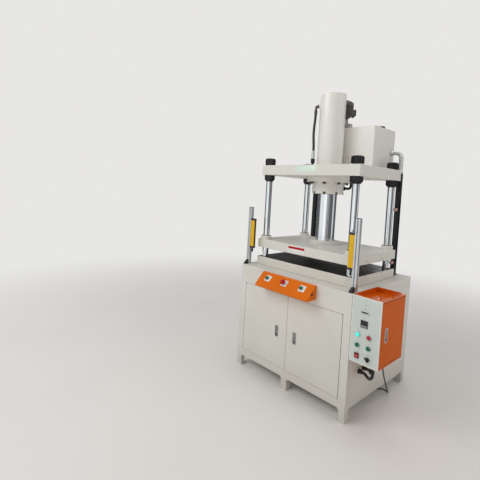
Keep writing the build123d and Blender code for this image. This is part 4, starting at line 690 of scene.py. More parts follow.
def lead(name, points, radius, finish, slot, *nodes):
    """A smooth cord on the frame that stands for its CAD nodes."""
    made = cord_line(name, points, radius, finish)
    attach(made, "press_frame")
    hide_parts(*nodes)
    return made


hose = lead("pressure_hose_line", hose_route, 0.010, RUBBER, "cord_rubber", "pressure_hose")
curtain_lead = lead("curtain_lead", curtain_route, 0.0025, PALE, "cable_plastic", "curtain_cable")
ribbed_conduit("front_loop", front_route, "conduit_front")
ribbed_conduit("rear_loop", rear_route, "conduit_rear")

mains_points = np.vstack([mains_route, coil_points(), [[0.318, 0.5862, 0.0136], [0.304, 0.5865, 0.0133]]])
mains_lead = lead("mains_lead", mains_points, 0.0045, RUBBER, "cord_rubber", "power_cord", "cord_coil")
mains_length = line_length(read_line(mains_lead)) * 0.001


# Cord fittings

def lead_plug():
    """A moulded plug: a body whose half sizes shrink towards the cord, and a ribbed, tapering relief."""
    rise = np.linspace(0, 30, 61)
    taper = 5.0 + 2.0 * (rise / 30) ** 1.3 + 0.35 * np.sin(rise * TURN / 4.2)
    relief = lathe(np.stack([taper, rise], axis=-1), 24).placed((PLUG_X + 30, PLUG_Y, PLUG_Z), BACK, LEFT)
    grip = plate(18, 13, 7, [(7, -0.5), (5.6, 1), (3.6, 5), (1.6, 12), (0.5, 18), (1.2, 21), (0.4, 24),
                             (1.2, 27), (0.3, 30), (0.0, 34), (0.0, 41), (0.8, 43.2), (2.4, 44)])
    body = relief + grip.placed((PLUG_X, PLUG_Y, PLUG_Z), BACK, LEFT)
    piece("mains_plug", body, BLACK, stands_for=["power_plug"])
    pin = lathe([(2.4, 43), (2.4, 60), (2.0, 62), (1.0, 63)], 16)
    pin_spots = [(PLUG_X, PLUG_Y + y, PLUG_Z + z) for y, z in ((-11, -4), (11, -4), (0, 6))]
    piece("plug_pins", joined([pin.placed(spot, BACK, LEFT) for spot in pin_spots]), ZINC)


def coil_tie(degrees):
    """A strap round the section of the coil, drawn flat and stood across the turns."""
    band = plate(12.4, 14.6, 5, [(0, -2), (0, 2), (1.0, 2), (1.0, -2)], ring=True)
    a = math.radians(degrees)
    middle = (COIL_OUTER + COIL_INNER) / 2
    spot = (COIL_X + middle * math.cos(a), COIL_Y + middle * math.sin(a), 14.62)
    return band.placed(spot, (math.cos(a), math.sin(a), 0), (math.sin(a), -math.cos(a), 0))


lead_plug()
piece("coil_ties", coil_tie(35) + coil_tie(215), BLACK)


def screwed_gland(radius):
    """A cable gland: washer face, hexagon, and a dome whose radius falls as an arc towards the conduit."""
    share = np.linspace(0, 1, 9)
    dome = np.stack([radius * 0.92 - (radius * 0.92 - 9.9) * (1 - np.sqrt(1 - share ** 2 * 0.98)),
                     12 + share * 14], axis=-1)
    profile = [(radius * 0.74, -8), (radius * 0.74, 0), (radius - 0.4, 0), (radius, 0.5), (radius, 2.6),
               (radius - 0.6, 3.2), (radius * 0.86, 11.2), *dome.tolist()]
    lock = nut(radius * 2, -8, -2, radius * 0.7, 1.2)
    return lathe(profile, 40) + nut(radius * 1.94, 3.2, 11.2, radius * 0.8, 1.2) + lock


def relief_gland():
    """The mains gland: hexagon, short dome and a ringed sleeve that tapers down to the cord."""
    rise = np.linspace(14, 34, 61)
    sleeve = np.stack([8.0 - 2.7 * (rise - 14) / 20 + 0.45 * np.sin(rise * TURN / 3.4), rise], axis=-1)
    profile = [(7.4, -8), (7.4, 0), (9.6, 0), (10, 0.5), (10, 2.4), (9.4, 3.0), (9.2, 10.4), (9.0, 12.4),
               (8.4, 13.6), *sleeve.tolist()]
    return lathe(profile, 32) + nut(19.4, 3.0, 10.4, 7.0, 0.9) + nut(20, -8, -2, 7.0, 1.0)


box_floor_spots = ((640, -362, 430), (604, -330, 430))
cabinet_wall_spots = ((512, -299, 312), (512, -243, 318))
glands = [screwed_gland(16).placed(spot, RIGHT, DOWN) for spot in box_floor_spots]
glands += [screwed_gland(16).placed(spot, BACK, RIGHT) for spot in cabinet_wall_spots]
glands.append(relief_gland().placed((604, -152, 430), RIGHT, DOWN))
piece("screwed_glands", joined(glands), BLACK, stands_for=["cable_glands"])


# Push buttons and switches

def on_slope(form, x, right=0.0, up=0.0):
    """Set on the sloped face of the two-hand box, shifted along it by right and up."""
    rise = up / math.sqrt(2)
    return form.placed((x + right, SLOPE_Y + rise, SLOPE_Z + rise), RIGHT, SLOPE)


def on_panel(form, x, z):
    """Set on the front of the control panel."""
    return form.placed((x, FACE_Y, z), RIGHT, FRONT)


def rim(outer, inner, height):
    """A bezel ring with a rounded outer shoulder."""
    return lathe([(outer - 0.3, 0), (outer, 0.4), (outer, height - 1.6), (outer - 0.5, height - 0.5),
                  (outer - 1.1, height), (inner + 0.25, height), (inner, height - 0.3), (inner, 0)],
                 64, ring=True)


def barrel(sheet):
    """What stands behind the panel: a threaded barrel, its lock nut and the contact block."""
    thread = np.arange(0, 22, 0.5)
    ridge = np.stack([10.9 - 0.35 * (np.arange(len(thread)) % 2), -thread], axis=-1)[::-1]
    body = lathe([(5.95, -40), (10.6, -40), *ridge.tolist(), (13.2, 0.4), (13.2, 1.0), (5.95, 1.0)],
                 32, ring=True)
    return body + nut(29, -sheet - 5, -sheet, 10.9, 1.0)


def cap(high, dish, low=5.3):
    """A push cap: a stem, straight sides, a rounded shoulder and a top that dishes by a cosine."""
    share = np.linspace(0, 1, 7)
    top = np.stack([10.9 * (1 - share) + 0.3, high - dish * (1 - np.cos(share * TURN / 4))], axis=-1)
    return lathe([(0.3, -35), (5.9, -35), (5.9, low), (12.6, low), (12.95, low + 0.4), (12.95, high - 1.9),
                  (12.6, high - 0.9), (12.0, high - 0.3), *top.tolist()], 56)


def mushroom():
    """The emergency stop's head: an undercut brim, a rolled edge and a top that falls off as an ellipse."""
    share = np.linspace(0, 1, 14)
    crown = np.stack([20.0 * np.cos(share * TURN / 4) + 0.25, 19.0 + 8.0 * np.sin(share * TURN / 4)], axis=-1)
    return lathe([(0.3, 20.3), (6.06, 20.3), (6.06, 12), (16.8, 12), (18.6, 12.8), (19.7, 14.4), (20.1, 16.6),
                  *crown.tolist()], 64)


def rocker():
    """A rocker whose top is a shallow parabola; the section shrinks a little at both ends of its pin."""
    y = np.linspace(-11.9, 11.9, 15)
    top = np.stack([y, 5.0 + 2.0 * (y / 11.9) ** 2], axis=-1)[::-1]
    section = np.vstack([top, [[-11.9, 6.2], [-9.9, -3], [0, -6], [9.9, -3], [11.9, 6.2]]])
    place = np.array([-11.0, -10.7, -10.2, 10.2, 10.7, 11.0])
    size = np.array([0.955, 0.985, 1.0, 1.0, 0.985, 0.955])
    loops = np.stack([np.repeat(place[:, None], len(section), axis=1), size[:, None] * section[:, 0],
                      size[:, None] * section[:, 1]], axis=-1)
    return skin(loops)


def knob():
    """The selector: a knurled skirt whose radius ripples, and a finger bar with rounded edges."""
    radius = np.array([12.2, 12.8, 12.8, 12.2, 10.8, 5.0])[:, None]
    depth = np.array([0, 1, 1, 0.6, 0, 0])[:, None] * 0.35
    ripple = depth * np.cos(around(120) * 30)[None, :]
    skirt = skin(rounds(radius + ripple, [4.3, 4.8, 11.6, 13.2, 14.2, 14.3], 120))
    bar = plate(4.4, 17, 4.2, [(0.2, 13.4), (0.0, 15), (0.5, 20), (1.0, 23.4), (1.7, 24.7), (2.8, 25.3)])
    stem = lathe([(0.3, -38), (5.9, -38), (5.9, 4.4), (0.3, 4.4)], 24)
    return (skirt + bar.placed((0, 2, 0)) + stem).turned(KNOB_TURN)


bezel = rim(15.3, 13.3, 6)
rims = [on_slope(bezel, x) for x in BUTTON_ROW] + [on_panel(bezel, *spot) for spot in ROUND_SPOTS]
rims.append(on_panel(rim(15.0, 12.95, 4), *SELECTOR_SPOT))
piece("button_rims", joined(rims), ZINC, stands_for=["button_bodies"])
barrels = [on_slope(barrel(2), x) for x in BUTTON_ROW]
barrels += [on_panel(barrel(3), *spot) for spot in (*ROUND_SPOTS, SELECTOR_SPOT)]
switch_case = plate(15.3, 17.3, 2.2, [(3.1, -24), (3.1, -0.05), (0.2, 0), (0, 0.4), (0, 3.3), (0.7, 4),
                                      (3.4, 4), (4, 3.4), (4, -23.8)], ring=True)
barrels.append(on_panel(switch_case, *ROCKER_SPOT))
piece("button_barrels", joined(barrels), BLACK)

for name, x in (("start_button_left", BUTTON_ROW[0]), ("start_button_right", BUTTON_ROW[2])):
    piece(name + "_cap", on_slope(cap(15, 1.0), x), GREEN, name + "_body", [name])
piece("estop_mushroom", on_slope(mushroom(), BUTTON_ROW[1]), RED, "estop_head_body", ["estop_head"])
for name, spot, finish in (("lit_button", ROUND_SPOTS[0], CYAN), ("stop_button", ROUND_SPOTS[1], CRIMSON),
                           ("green_button_upper", ROUND_SPOTS[2], GREEN),
                           ("green_button_lower", ROUND_SPOTS[3], GREEN)):
    dish = -1.2 if name == "lit_button" else 0.8
    piece(name + "_cap", on_panel(cap(11.4 - max(-dish, 0), dish), *spot), finish, name + "_body", [name])
piece("rocker_cap", on_panel(rocker().tilted(ROCKER_TILT), *ROCKER_SPOT), ROCKER, "power_rocker_body",
      ["power_rocker"])
# White I and O marks on the rocker; the white bar also stands in as a painted glint on its top.
rocker_bar_and_glint = slab(0.8, 3.0, 0.7, 5.45, 6.05, 0.15).placed((0, 5.4, 0))
rocker_ring = lathe([(2.6, 5.3), (2.6, 6.0), (1.7, 6.0), (1.7, 5.3)], 28, ring=True).placed((0, -5.4, 0))
piece("rocker_marks_and_glint", on_panel((rocker_bar_and_glint + rocker_ring).tilted(ROCKER_TILT), *ROCKER_SPOT), WHITE,
      "power_rocker_body")
piece("selector_grip", on_panel(knob(), *SELECTOR_SPOT), BLACK, "selector_knob_body", ["selector_knob"])
pointer = slab(0.7, 5.5, 0.6, 25.1, 25.5, 0.12).placed((0, 11, 0)).turned(KNOB_TURN)
piece("selector_pointer", on_panel(pointer, *SELECTOR_SPOT), WHITE, "selector_knob_body")
legend = slab(25.5, 25.5, 3, 0, 0.9, 0.3)
piece("legend_plates", joined([on_slope(legend, x, 6.5, 1.5) for x in BUTTON_ROW]), WHITE)


# Control panel

def pan_screw(radius, height):
    """A low domed head with a crossed recess, whose floor is the last loop."""
    cross = radius * (0.22 + 0.34 * np.abs(np.cos(2 * around(48))) ** 8)
    share = np.linspace(0, 1, 6)
    dome = [(radius * math.cos(a * 0.9), height * (0.25 + 0.75 * math.sin(a * 0.9) / math.sin(1.41)))
            for a in share * TURN / 4]
    rings = np.stack([np.full(48, r) for r, _ in [(radius, 0), *dome[:4]]] + [cross, cross * 0.8])
    return skin(rounds(rings, [0, *[z for _, z in dome[:4]], height, height * 0.3], 48))


panel_screws = [on_panel(pan_screw(3.4, 1.6), x, z) for z in (837, 637, 442) for x in (519, 696)]
piece("panel_screws", joined(panel_screws), ZINC)
captions = ((565, 636, 7), (638, 636, 8), (565, 570, 8), (638, 570, 7), (565, 503, 7), (638, 503, 9),
            (601, 717, 8), (601, 781, 9), (603, 829, 6), (612, 803, 16))
marks = [on_panel(slab(half, 0.9, 0.3, 0, 0.15, 0.05), x, z) for x, z, half in captions]
piece("panel_marks", joined(marks), GREY)

timer_case = slab(24, 24, 2.5, 0, 3, 0.8) + plate(21.8, 21.8, 1.5, [(0, -60), (0, 0.1)])
counter_rear = plate(28.8, 11.8, 1.5, [(0, -40), (0, 0.1)])
piece("meter_cases", on_panel(timer_case, *TIMER_SPOT) + on_panel(counter_rear, *COUNTER_SPOT), BLACK,
      stands_for=["panel_meters"])
counter_face = slab(31, 14, 3, 0, 3, 0.8)
key_field = slab(21.5, 7.2, 1.2, 2.8, 3.3, 0.2).placed((0, -14.2, 0))
piece("counter_face", on_panel(counter_face, *COUNTER_SPOT), PALE)
piece("timer_key_field", on_panel(key_field, *TIMER_SPOT), GREY, slot="grey_plastic")
windows = on_panel(slab(19.5, 4.6, 1, 2.8, 3.2, 0.15), *COUNTER_SPOT)
windows += on_panel(slab(21, 12.5, 1.5, 2.8, 3.2, 0.2).placed((0, 7.2, 0)), *TIMER_SPOT)
piece("meter_windows", windows, WINDOW)
keys = [on_panel(slab(3.4, 2.0, 0.8, 3.2, 4.0, 0.3), x, 669.5) for x in (586, 596, 606, 616)]
keys.append(on_panel(lathe([(2.6, 2.9), (2.6, 3.9), (2.2, 4.3), (0.3, 4.4)], 24), 625.5, 757))
keys.append(on_panel(lathe([(2.0, 2.9), (2.0, 3.5), (1.6, 3.8), (0.3, 3.9)], 24), 577, 757))
piece("meter_keys", joined(keys), BLACK)


# Latches

def latch(reach):
    """The flush paddle with its lock, and behind it the eye, pin, web and tongue; X across, Y up, Z out."""
    low, high = sorted((0.0, reach))
    lock = lathe([(0.3, -7), (5.5, -7), (5.5, -0.6), (5.1, -0.3), (0.3, -0.35)], 40).placed(LOCK)
    ring = lathe([(7.6, -0.4), (7.4, 0.05), (6.2, 0.05), (5.9, -0.4)], 40, ring=True).placed(LOCK)
    pin = lathe([(1.94, -17.4), (1.94, 17.4)], 16).placed((0, 35, -5), BACK, RIGHT)
    web = slab(2, 7, 0.4, -33, -3, 0.3).placed((0, 30, 0))
    tongue = slab((high - low) / 2, 6, 0.8, -33, -29, 0.4).placed(((high + low) / 2, 29, 0))
    bridge = slab(11, 9, 1, -6, -3, 0.3).placed(LOCK)
    eye = slab(13, 4.5, 1, -10, -3, 0.4).placed((0, 35.5, 0))
    ribs = [slab(9.5, 1.1, 0.9, -1.0, 0.0, 0.35).placed((0, up, 0)) for up in range(-12, 33, 4)]
    return joined([slab(13, 40, 6.5, -3, -0.6, 0.7), lock, ring, pin, web, tongue, bridge, eye, *ribs])


def latch_frame(height):
    """The pressed frame round the paddle."""
    return plate(18.5, 46, 10, [(0, 0.02), (0, height * 0.6), (0.5, height), (3.2, height),
                                (3.7, height * 0.6), (3.7, -2), (2.6, -2), (2.6, 0.02)], ring=True)


# The keyhole is a shallow disc, painted black as the shade inside it.
keyhole = lathe([(5.8, -0.6), (5.8, -0.05), (5.4, 0.1), (1.2, 0.12), (0.9, -0.4), (0.2, -0.5)], 40)
for name, spot, across, out, reach, door, high in (
        ("left_latch_handle", (-95, FACE_Y, 411), RIGHT, FRONT, 71, "left_door", 1.2),
        ("right_latch_handle", (75, FACE_Y, 411), RIGHT, FRONT, -51, "right_door", 1.2),
        ("control_latch_handle", (706, -362, 632), BACK, RIGHT, -64, "control_box_door", 0.25)):
    piece(name + "_paddle", latch(reach).placed(spot, across, out), LATCH, name + "_body", [name])
    piece(name + "_keyhole", keyhole.placed(LOCK).placed(spot, across, out), KEYHOLE_SHADE, name + "_body")
    piece(door + "_latch_frame", latch_frame(high).placed(spot, across, out), FRAME, door + "_body")

cover_screws = [pan_screw(4.2, 1.2).placed((side * 512, y, z), BACK, (side, 0, 0))
                for side in SIDES for y in (-395, 0, 395) for z in (180, 785)]
piece("cover_screws", joined(cover_screws), ZINC)
linings = [slab(1.5, 9, 0.3, 150, 698, 0.2).placed((0, -428, 0)),
           slab(438, 2.5, 0.3, 700.2, 703, 0.2).placed((0, -434.5, 0)),
           slab(438, 2.5, 0.3, 145, 147.8, 0.2).placed((0, -434.5, 0))]
piece("door_linings", joined(linings), CREAM)


# Columns, ram, nuts, bushes and seals

def polished_column():
    """A ground shaft between two threads, whose radius steps from root to crest every 1.5 mm."""
    low = np.arange(770.0, 832.0, 1.5)
    high = np.arange(1690.0, 1726.0, 1.5)
    ridge = [[(24.0 - 1.0 * (k % 2), rise) for k, rise in enumerate(part)] for part in (low, high)]
    return lathe([(21.6, 768), *ridge[0], (24, 834), (24, 914.6), (25, 915), (25, 1542.5), (24.4, 1543),
                  (24, 1543.1), (24, 1688), *ridge[1], (22.6, 1727), (21.8, 1728)], 96)


def polished_ram():
    """The ram with its groove, its chamfered foot and the spigot that carries the piston."""
    return lathe([(74.2, 1066), (75, 1067), (75, 1121.8), (74.8, 1122), (72.2, 1122.1), (72, 1122.4),
                  (72, 1125.6), (72.2, 1125.9), (74.8, 1126), (75, 1126.2), (75, 1644.5), (73.5, 1646),
                  (35, 1646), (35, 1725), (34, 1726)], 192)


def taper_nut():
    """A hexagon that narrows below to a round shoulder, bored for the column's thread."""
    limit = np.array([28.0, 30.5, 37.4, 41.2, 43.3, 43.3, 24.1, 24.1])
    rise = [1546.0, 1547.6, 1557.6, 1560.6, 1564.5, 1598.0, 1598.0, 1546.0]
    return skin(rounds(np.minimum(flats(75, 96)[None, :], limit[:, None]), rise, 96), ring=True)


def at_columns(form, height=0, out=UP):
    """The form at all four columns."""
    spots = [(x, AXIS_Y + y, height) for x in (-396, 396) for y in (-262, 262)]
    return joined([form.placed(spot, RIGHT, out) for spot in spots])


piece("polished_columns", at_columns(polished_column()), CHROME, stands_for=["columns"])
piece("polished_ram", polished_ram().placed((0, AXIS_Y, 0)), CHROME, "slide", ["ram"])
tall = nut(75, 0, 58, 24.06, 8)
piece("hexagon_nuts", at_columns(tall, 1678) + at_columns(tall, 834, DOWN), NUTS, stands_for=["column_nuts"])
piece("taper_nuts", at_columns(taper_nut()), NUTS, stands_for=["crown_support_nuts"])
wiper = lathe([(25.1, 1095.9), (31.5, 1095.9), (31.3, 1097.2), (28.4, 1098.6), (25.4, 1099.4),
               (25.1, 1099.2)], 48, ring=True)
piece("bush_wipers", at_columns(wiper), RUBBER, "slide")
ram_seal = lathe([(75.15, 1466.4), (75.6, 1465.6), (79.5, 1465.8), (80.6, 1467.0), (80.6, 1469),
                  (75.15, 1469)], 96, ring=True)
piece("ram_seal", ram_seal.placed((0, AXIS_Y, 0)), RUBBER)


# Hose ends and pipes

def hose_elbow():
    """A pipe round a quarter bend out of the cylinder's port, its nut, and the collar above the hose."""
    port = np.array([math.cos(math.radians(222)), math.sin(math.radians(222)), 0.0])
    seat = np.array([0, AXIS_Y, 2160.0])
    bend = fill(elbow(seat + port * 117, seat + port * 132, (*HOSE_XY, 2128), 12), 1.5)
    collar = lathe([(10.2, 2098), (11.7, 2098.4), (12, 2100), (12, 2104), (11.4, 2105), (11.4, 2107),
                    (12, 2108), (12, 2128), (11.2, 2130), (8.4, 2131)], 32)
    return (carried(circle(9, 28), bend, (port[1], -port[0], 0))
            + nut(28, 111, 119, 8.6, 2).placed(tuple(seat), UP, port) + collar.placed((*HOSE_XY, 0)))


def hose_ends():
    """The lower ferrule, whose radius steps in under each crimp, and the bleed screw on the cylinder."""
    rise = np.linspace(0, 63, 127)
    crimp = (np.sin(rise * TURN / 6.3) > 0.35) * (rise > 6) * (rise < 57)
    crimped = np.stack([12.0 - 0.55 * crimp, 1745 + rise], axis=-1)
    ferrule = lathe([(11.2, 1744), *crimped.tolist(), (10.2, 1808.4)], 32)
    bleed = lathe([(3.9, 2256), (3.9, 2270), (3.2, 2272), (0.3, 2272)], 20)
    return (ferrule.placed((*HOSE_XY, 0)) + bleed.placed((0, AXIS_Y, 0))
            + nut(16, 2256, 2265.6, 3.9, 1.5).placed((0, AXIS_Y, 0)))


def gland_pipe():
    """The nut under the hose, and the pipe that leaves the gland and turns up through the crown."""
    slant = np.array([math.sqrt(0.5), math.sqrt(0.5), 0.0])
    axis = np.array([0, AXIS_Y, 1519.0])
    corner = axis + slant * 182
    path = fill(elbow(axis + slant * 104, corner, corner + (0, 0, 79), 22), 3)
    seat = lathe([(13, 1678), (13, 1681), (9.9, 1682), (9.9, 1710)], 32)
    collar = lathe([(10, 1580), (14, 1584), (14, 1598), (10, 1598)], 32, ring=True)
    return (nut(28, 1709, 1745, 9, 2.5).placed((*HOSE_XY, 0)) + seat.placed((*HOSE_XY, 0))
            + carried(circle(10, 28), path, (slant[1], -slant[0], 0))
            + nut(34, 122, 136, 9.9, 2.5).placed(tuple(axis), UP, slant) + collar.placed((*corner[:2], 0)))


def tank_conduit():
    """A conduit round a quarter bend, whose radius swings as a sine of the length, and both its ends."""
    start, corner, end = (314, 368, 1825), (396, 368, 1825), (396, 368, 1664)
    path = fill(elbow(start, corner, end, 42), 0.8)
    run = np.arange(len(path)) * line_length(path) / (len(path) - 1)
    wall_end = lathe([(16, 318), (21, 318), (21, 326), (18.4, 331), (16, 331)], 40, ring=True)
    rail_end = lathe([(16, 1660), (19, 1660), (19, 1673), (17.6, 1678), (16, 1678)], 40, ring=True)
    return (carried(circle(16.4 + 0.6 * np.sin(run * TURN / 5.2), 32), path, BACK)
            + nut(44, 310, 318, 16, 2.4).placed((0, 368, 1825), BACK, RIGHT)
            + wall_end.placed((0, 368, 1825), BACK, RIGHT) + rail_end.placed((396, 368, 0)))


piece("hose_elbow", hose_elbow(), DARK_STEEL)
piece("hose_ends", hose_ends(), ZINC, stands_for=["hose_fittings"])
piece("gland_pipe", gland_pipe(), OXIDE)
piece("tank_flexible_conduit", tank_conduit(), ZINC, stands_for=["tank_conduit"])


# Motor

def motor_fins():
    """The finned shell: over the fins' height the radius swings between core and fin tip, 24 times round."""
    fin = np.clip(np.cos(around(240) * 24) * 2.2 + 0.1, -1, 1) * 0.5 + 0.5
    levels = np.array([[38, 2108, 0], [40, 2110, 0], [68, 2129, 0], [70, 2131, 0], [70, 2132.2, 0],
                       [70, 2134.5, 1], [70, 2150, 1], [70, 2170, 1], [70, 2190, 1], [70, 2210.5, 1],
                       [70, 2212.5, 0], [69, 2214, 0]])
    return skin(rounds(levels[:, :1] + levels[:, 2:] * 9.7 * fin[None, :], levels[:, 1], 240))


def motor_cowl():
    """The fan cowl: a straight band, a rounded shoulder and a stepped grille on top."""
    profile = [(71, 2211), (79.6, 2211), (80, 2211.6), (80, 2234), (79.2, 2237), (77, 2240), (70, 2246.5),
               (60, 2253), (52, 2257.5), (48, 2259.4)]
    for radius in (44, 38, 32, 26, 20, 14):
        profile += [(radius + 2.2, 2260), (radius, 2260), (radius - 0.4, 2257.2), (radius - 2.8, 2257.2),
                    (radius - 3.2, 2260)]
    return lathe([*profile, (0.4, 2260)], 72)


def motor():
    """Flange, neck, finned shell, cowl, and the terminal box with its lid, screws and gland."""
    base = lathe([(16, 2006), (67, 2006), (68, 2007), (68, 2017), (67, 2018), (44, 2018), (40.6, 2020),
                  (40, 2023), (40, 2111), (20, 2111)], 64)
    angles = [TURN * (k + 0.5) / 6 for k in range(6)]
    head = nut(15, 0, 6, 0.3, 1.0)
    heads = [head.placed((57 * math.cos(a), 57 * math.sin(a), 2018)) for a in angles]
    out = (math.sqrt(0.5), math.sqrt(0.5), 0)
    screws = [pan_screw(2.6, 1.2).placed((x, y, 99.5)) for x in (-20, 20) for y in (-20, 20)]
    box = joined([slab(25, 25, 5, 62, 93, 1.2), slab(26.2, 26.2, 5.5, 93.2, 99.6, 1.6), *screws])
    box = box.placed((0, 0, 2163), (-out[1], out[0], 0), out)
    entry = nut(20, 0, 8, 4, 1) + lathe([(9, 8), (8.6, 12), (6, 15), (0.4, 15)], 28)
    entry = entry.placed((out[0] * 80, out[1] * 80, 2138), RIGHT, DOWN)
    return joined([base, motor_fins(), motor_cowl(), *heads, box, entry]).placed((-50, 205, 0))


piece("finned_motor", motor(), MOTOR, stands_for=["motor_housing"], crease=28)
lid_spots = [(x, y, 2006) for x in (-168, -86, 150, 232, 298) for y in (88, 408)]
lid_spots += [(x, y, 2006) for x in (-168, 298) for y in (195, 300)]
piece("lid_screws", joined([pan_screw(4.6, 2.4).placed(spot) for spot in lid_spots]), ZINC)


# Light curtains and their posts

def slotted_post():
    """One side of the extrusion, with its undercut slot, turned to all four sides and carried up."""
    side = np.array([[15, -13.8], [15, -4.1], [13.2, -4.1], [13.2, -8.0], [10.8, -8.0], [7.2, -4.4],
                     [7.2, 4.4], [10.8, 8.0], [13.2, 8.0], [13.2, 4.1], [15, 4.1], [15, 13.8], [14.6, 14.6]])
    turns = [side @ np.array([[c, s], [-s, c]]) for c, s in ((1, 0), (0, 1), (-1, 0), (0, -1))]
    return skin(raised(np.vstack(turns), [850.0, 1322.0]))


def curtain_ends():
    """Both end caps, and the connector with its knurled sleeve."""
    levels = np.array([[5.6, 953, 0], [6.3, 953.6, 0], [6.6, 955, 1], [6.6, 968, 1], [6.2, 969, 0],
                       [6.9, 970, 0], [6.9, 984, 0], [6.9, 988, 0]])
    radius = levels[:, :1] + levels[:, 2:] * 0.4 * np.sign(np.cos(around(72) * 18))
    plug = skin(rounds(radius, levels[:, 1], 72))
    return slab(20, 13, 3.6, 987, 1003, 1.0) + slab(20, 13, 3.6, 1215, 1231, 1.0) + plug


def on_both_sides(form, x, y=POST_Y):
    """The form at the left and at the right."""
    return joined([form.placed((side * x, y, 0)) for side in SIDES])


piece("slotted_posts", on_both_sides(slotted_post(), POST_X), PROFILE, stands_for=["curtain_posts"],
      crease=20)
piece("post_caps", on_both_sides(slab(14.9, 14.9, 1.6, 1322, 1325, 0.8), POST_X), BLACK)
housing = plate(19.6, 12.6, 3.4, [(0.6, 1002), (0, 1002.6), (0, 1215.4), (0.6, 1216)])
piece("curtain_housings", on_both_sides(housing, CURTAIN_X), YELLOW, stands_for=["light_curtains"])
piece("curtain_end_caps", on_both_sides(curtain_ends(), CURTAIN_X), BLACK)
strip = slab(8, 104, 1.5, -0.2, 0.35, 0.12)
strips = [strip.placed((side * 436.4, POST_Y, 1109), (0, side, 0), (-side, 0, 0)) for side in SIDES]
piece("curtain_windows", joined(strips), WINDOW)
bracket_screws = [pan_screw(3.6, 2.2).placed((side * POST_X, -421.5, 867.5), RIGHT, SLOPE) for side in SIDES]
piece("bracket_screws", joined(bracket_screws), ZINC)
grommet = lathe([(2.7, 849.6), (5.4, 850), (5.4, 851.2), (4.4, 852.2), (2.7, 852.4)], 28, ring=True)
piece("deck_grommet", grommet.placed((468, -412, 0)), BLACK)
end_grommet = lathe([(5.6, -2.6), (9.2, -2.6), (9.2, 0), (10.6, 0), (10.4, 1.1), (9.6, 1.6), (6.4, 1.6),
                     (5.6, 0.6)], 36, ring=True)
piece("box_grommet", end_grommet.placed((239, -490, 783), BACK, RIGHT), BLACK)


# Plates on the crown and the slide

name_plate = slab(95.5, 22.5, 2, 0, 0.8, 0.25)
sign_plate = slab(77.5, 25.5, 2, 0, 0.7, 0.2)
sign_band = slab(77.3, 8.5, 1.5, 0.6, 0.85, 0.1)
piece("crown_name_plate", name_plate.placed((2.5, PLATES_Y, 1645.5), RIGHT, FRONT), PLATE)
piece("slide_sign_plate", sign_plate.placed((-39.5, PLATES_Y, 1026.5), RIGHT, FRONT), WHITE, "slide")
piece("slide_sign_band", sign_band.placed((-39.5, PLATES_Y, 1043.2), RIGHT, FRONT), RED, "slide",
      slot=NO_SLOT)


# Floor, background and light

PALE_GROUND = tone(232, 231, 229)
WORLD_LEVEL = 0.385
WALL_LEVEL = 1.35
WALL_RADIUS = 6.0
WALL_HEIGHT = 3.8
LAMPS = (
    ("key_softbox", (-1.6, -4.2, 4.2), (0.0, 0.0, 1.1), (3.2, 2.4), 100.0),
    ("side_softbox", (3.8, 0.7, 3.5), (0.2, 0.1, 1.8), (2.4, 2.0), 16.0),
    ("top_softbox", (0.2, 0.6, 5.2), (0.0, 0.0, 1.6), (3.0, 3.0), 44.0),
)


def smooth_floor():
    """Sealed concrete near the press that passes into the pale background further out."""
    g = Graph("floor")
    far = ((g.x * g.x + g.y * g.y) ** 0.5).ease(1.2, 5.5)
    cloud = g.noise(1.3, 5.0, 0.6)
    body = g.blend(cloud.ease(0.3, 0.7) * 0.35, tone(240, 238, 235), tone(234, 232, 228))
    rough = 0.62 - cloud.ease(0.3, 0.7) * 0.08
    near = g.node("BsdfPrincipled", inputs={"Base Color": body, "Roughness": rough})
    away = g.node("Emission", inputs={"Color": PALE_GROUND, "Strength": 1.0})
    mixed = g.node("MixShader", inputs={0: far, 1: near, 2: away})
    g.node("OutputMaterial", inputs={0: mixed}, output=None)
    return g.material


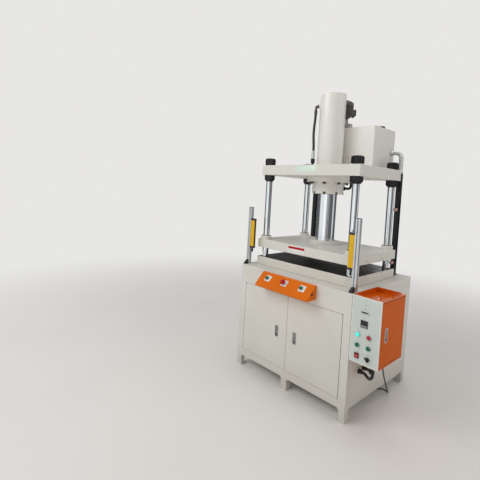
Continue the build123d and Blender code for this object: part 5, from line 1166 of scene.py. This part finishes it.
def reflected_wall():
    """A round wall that only reflections see: pale, with a tall bright opening, two slots high behind, and
    soft-edged darker bays; bearings are in radians from the operator's right."""
    g = Graph("reflected_wall")
    way = g.x.bearing(g.y)
    behind = way.ease(1.98, 2.16) + 1.0 - way.ease(-2.46, -2.28)
    grey = (behind * 0.95 + way.band(-0.40, 0.44, 0.07) * 0.92 + way.band(-0.95, -0.40, 0.05) * 0.55
            + way.band(0.88, 2.07, 0.07) * 0.95)
    slots = (way.band(1.83, 1.86, 0.006) + way.band(1.90, 1.96, 0.006)) * g.z.band(1.7, 3.3, 0.05)
    bright = way.band(-1.50, -1.02, 0.05) + slots
    shade = g.blend(bright, g.blend(grey, tone(226, 232, 228), tone(66, 66, 70)), tone(255, 255, 255))
    surface = g.node("Emission", inputs={"Color": shade, "Strength": WALL_LEVEL})
    g.node("OutputMaterial", inputs={0: surface}, output=None)
    return g.material


def backdrop(name, points, faces, finish):
    """A part of the stage, in metres."""
    mesh = bpy.data.meshes.new(name)
    mesh.from_pydata(points.tolist(), [], faces)
    mesh.materials.append(finish)
    made = bpy.data.objects.new(name, mesh)
    bpy.context.scene.collection.objects.link(made)
    return made


def even_world():
    """A world that lights evenly, and that the camera and reflections see as the pale background."""
    world = bpy.data.worlds.new("studio")
    bpy.context.scene.world = world
    world.use_nodes = True
    g = Graph("studio", world.node_tree)
    rays = g.node("LightPath", output="Is Camera Ray")
    seen = (rays + rays.output("Is Glossy Ray") + rays.output("Is Transmission Ray")).least(1.0)
    soft = g.node("Background", inputs={"Color": tone(255, 253, 250), "Strength": WORLD_LEVEL})
    pale = g.node("Background", inputs={"Color": PALE_GROUND, "Strength": 1.0})
    g.node("OutputWorld", inputs={0: g.node("MixShader", inputs={0: seen, 1: soft, 2: pale})}, output=None)


def soft_lamp(name, spot, aim, size, power):
    """A rectangular lamp at spot that faces aim."""
    data = bpy.data.lights.new(name, "AREA")
    data.shape = "RECTANGLE"
    data.size, data.size_y = size
    data.energy = power
    lamp = bpy.data.objects.new(name, data)
    lamp.location = spot
    lamp.rotation_euler = (Vector(aim) - Vector(spot)).to_track_quat("-Z", "Y").to_euler()
    bpy.context.scene.collection.objects.link(lamp)


def stage():
    """A wide round floor, the world, the lamps, and the wall that only reflections see."""
    radius = np.array([0.01, 2.0, 5.0, 12.0, 40.0])[:, None]
    floor = skin(rounds(radius, np.full(5, -0.0002), 96)[::-1])
    backdrop("floor", floor.points, floor.quads.tolist() + [floor.ends[1].tolist()], smooth_floor())
    even_world()
    for lamp in LAMPS:
        soft_lamp(*lamp)
    wall = skin(raised(circle(WALL_RADIUS, 96), [0.0, WALL_HEIGHT])[::-1])
    made = backdrop("reflected_wall", wall.points, wall.quads.tolist(), reflected_wall())
    made.visible_camera = made.visible_diffuse = made.visible_shadow = made.visible_transmission = False
    bpy.context.scene.view_settings.view_transform = "Standard"


stage()
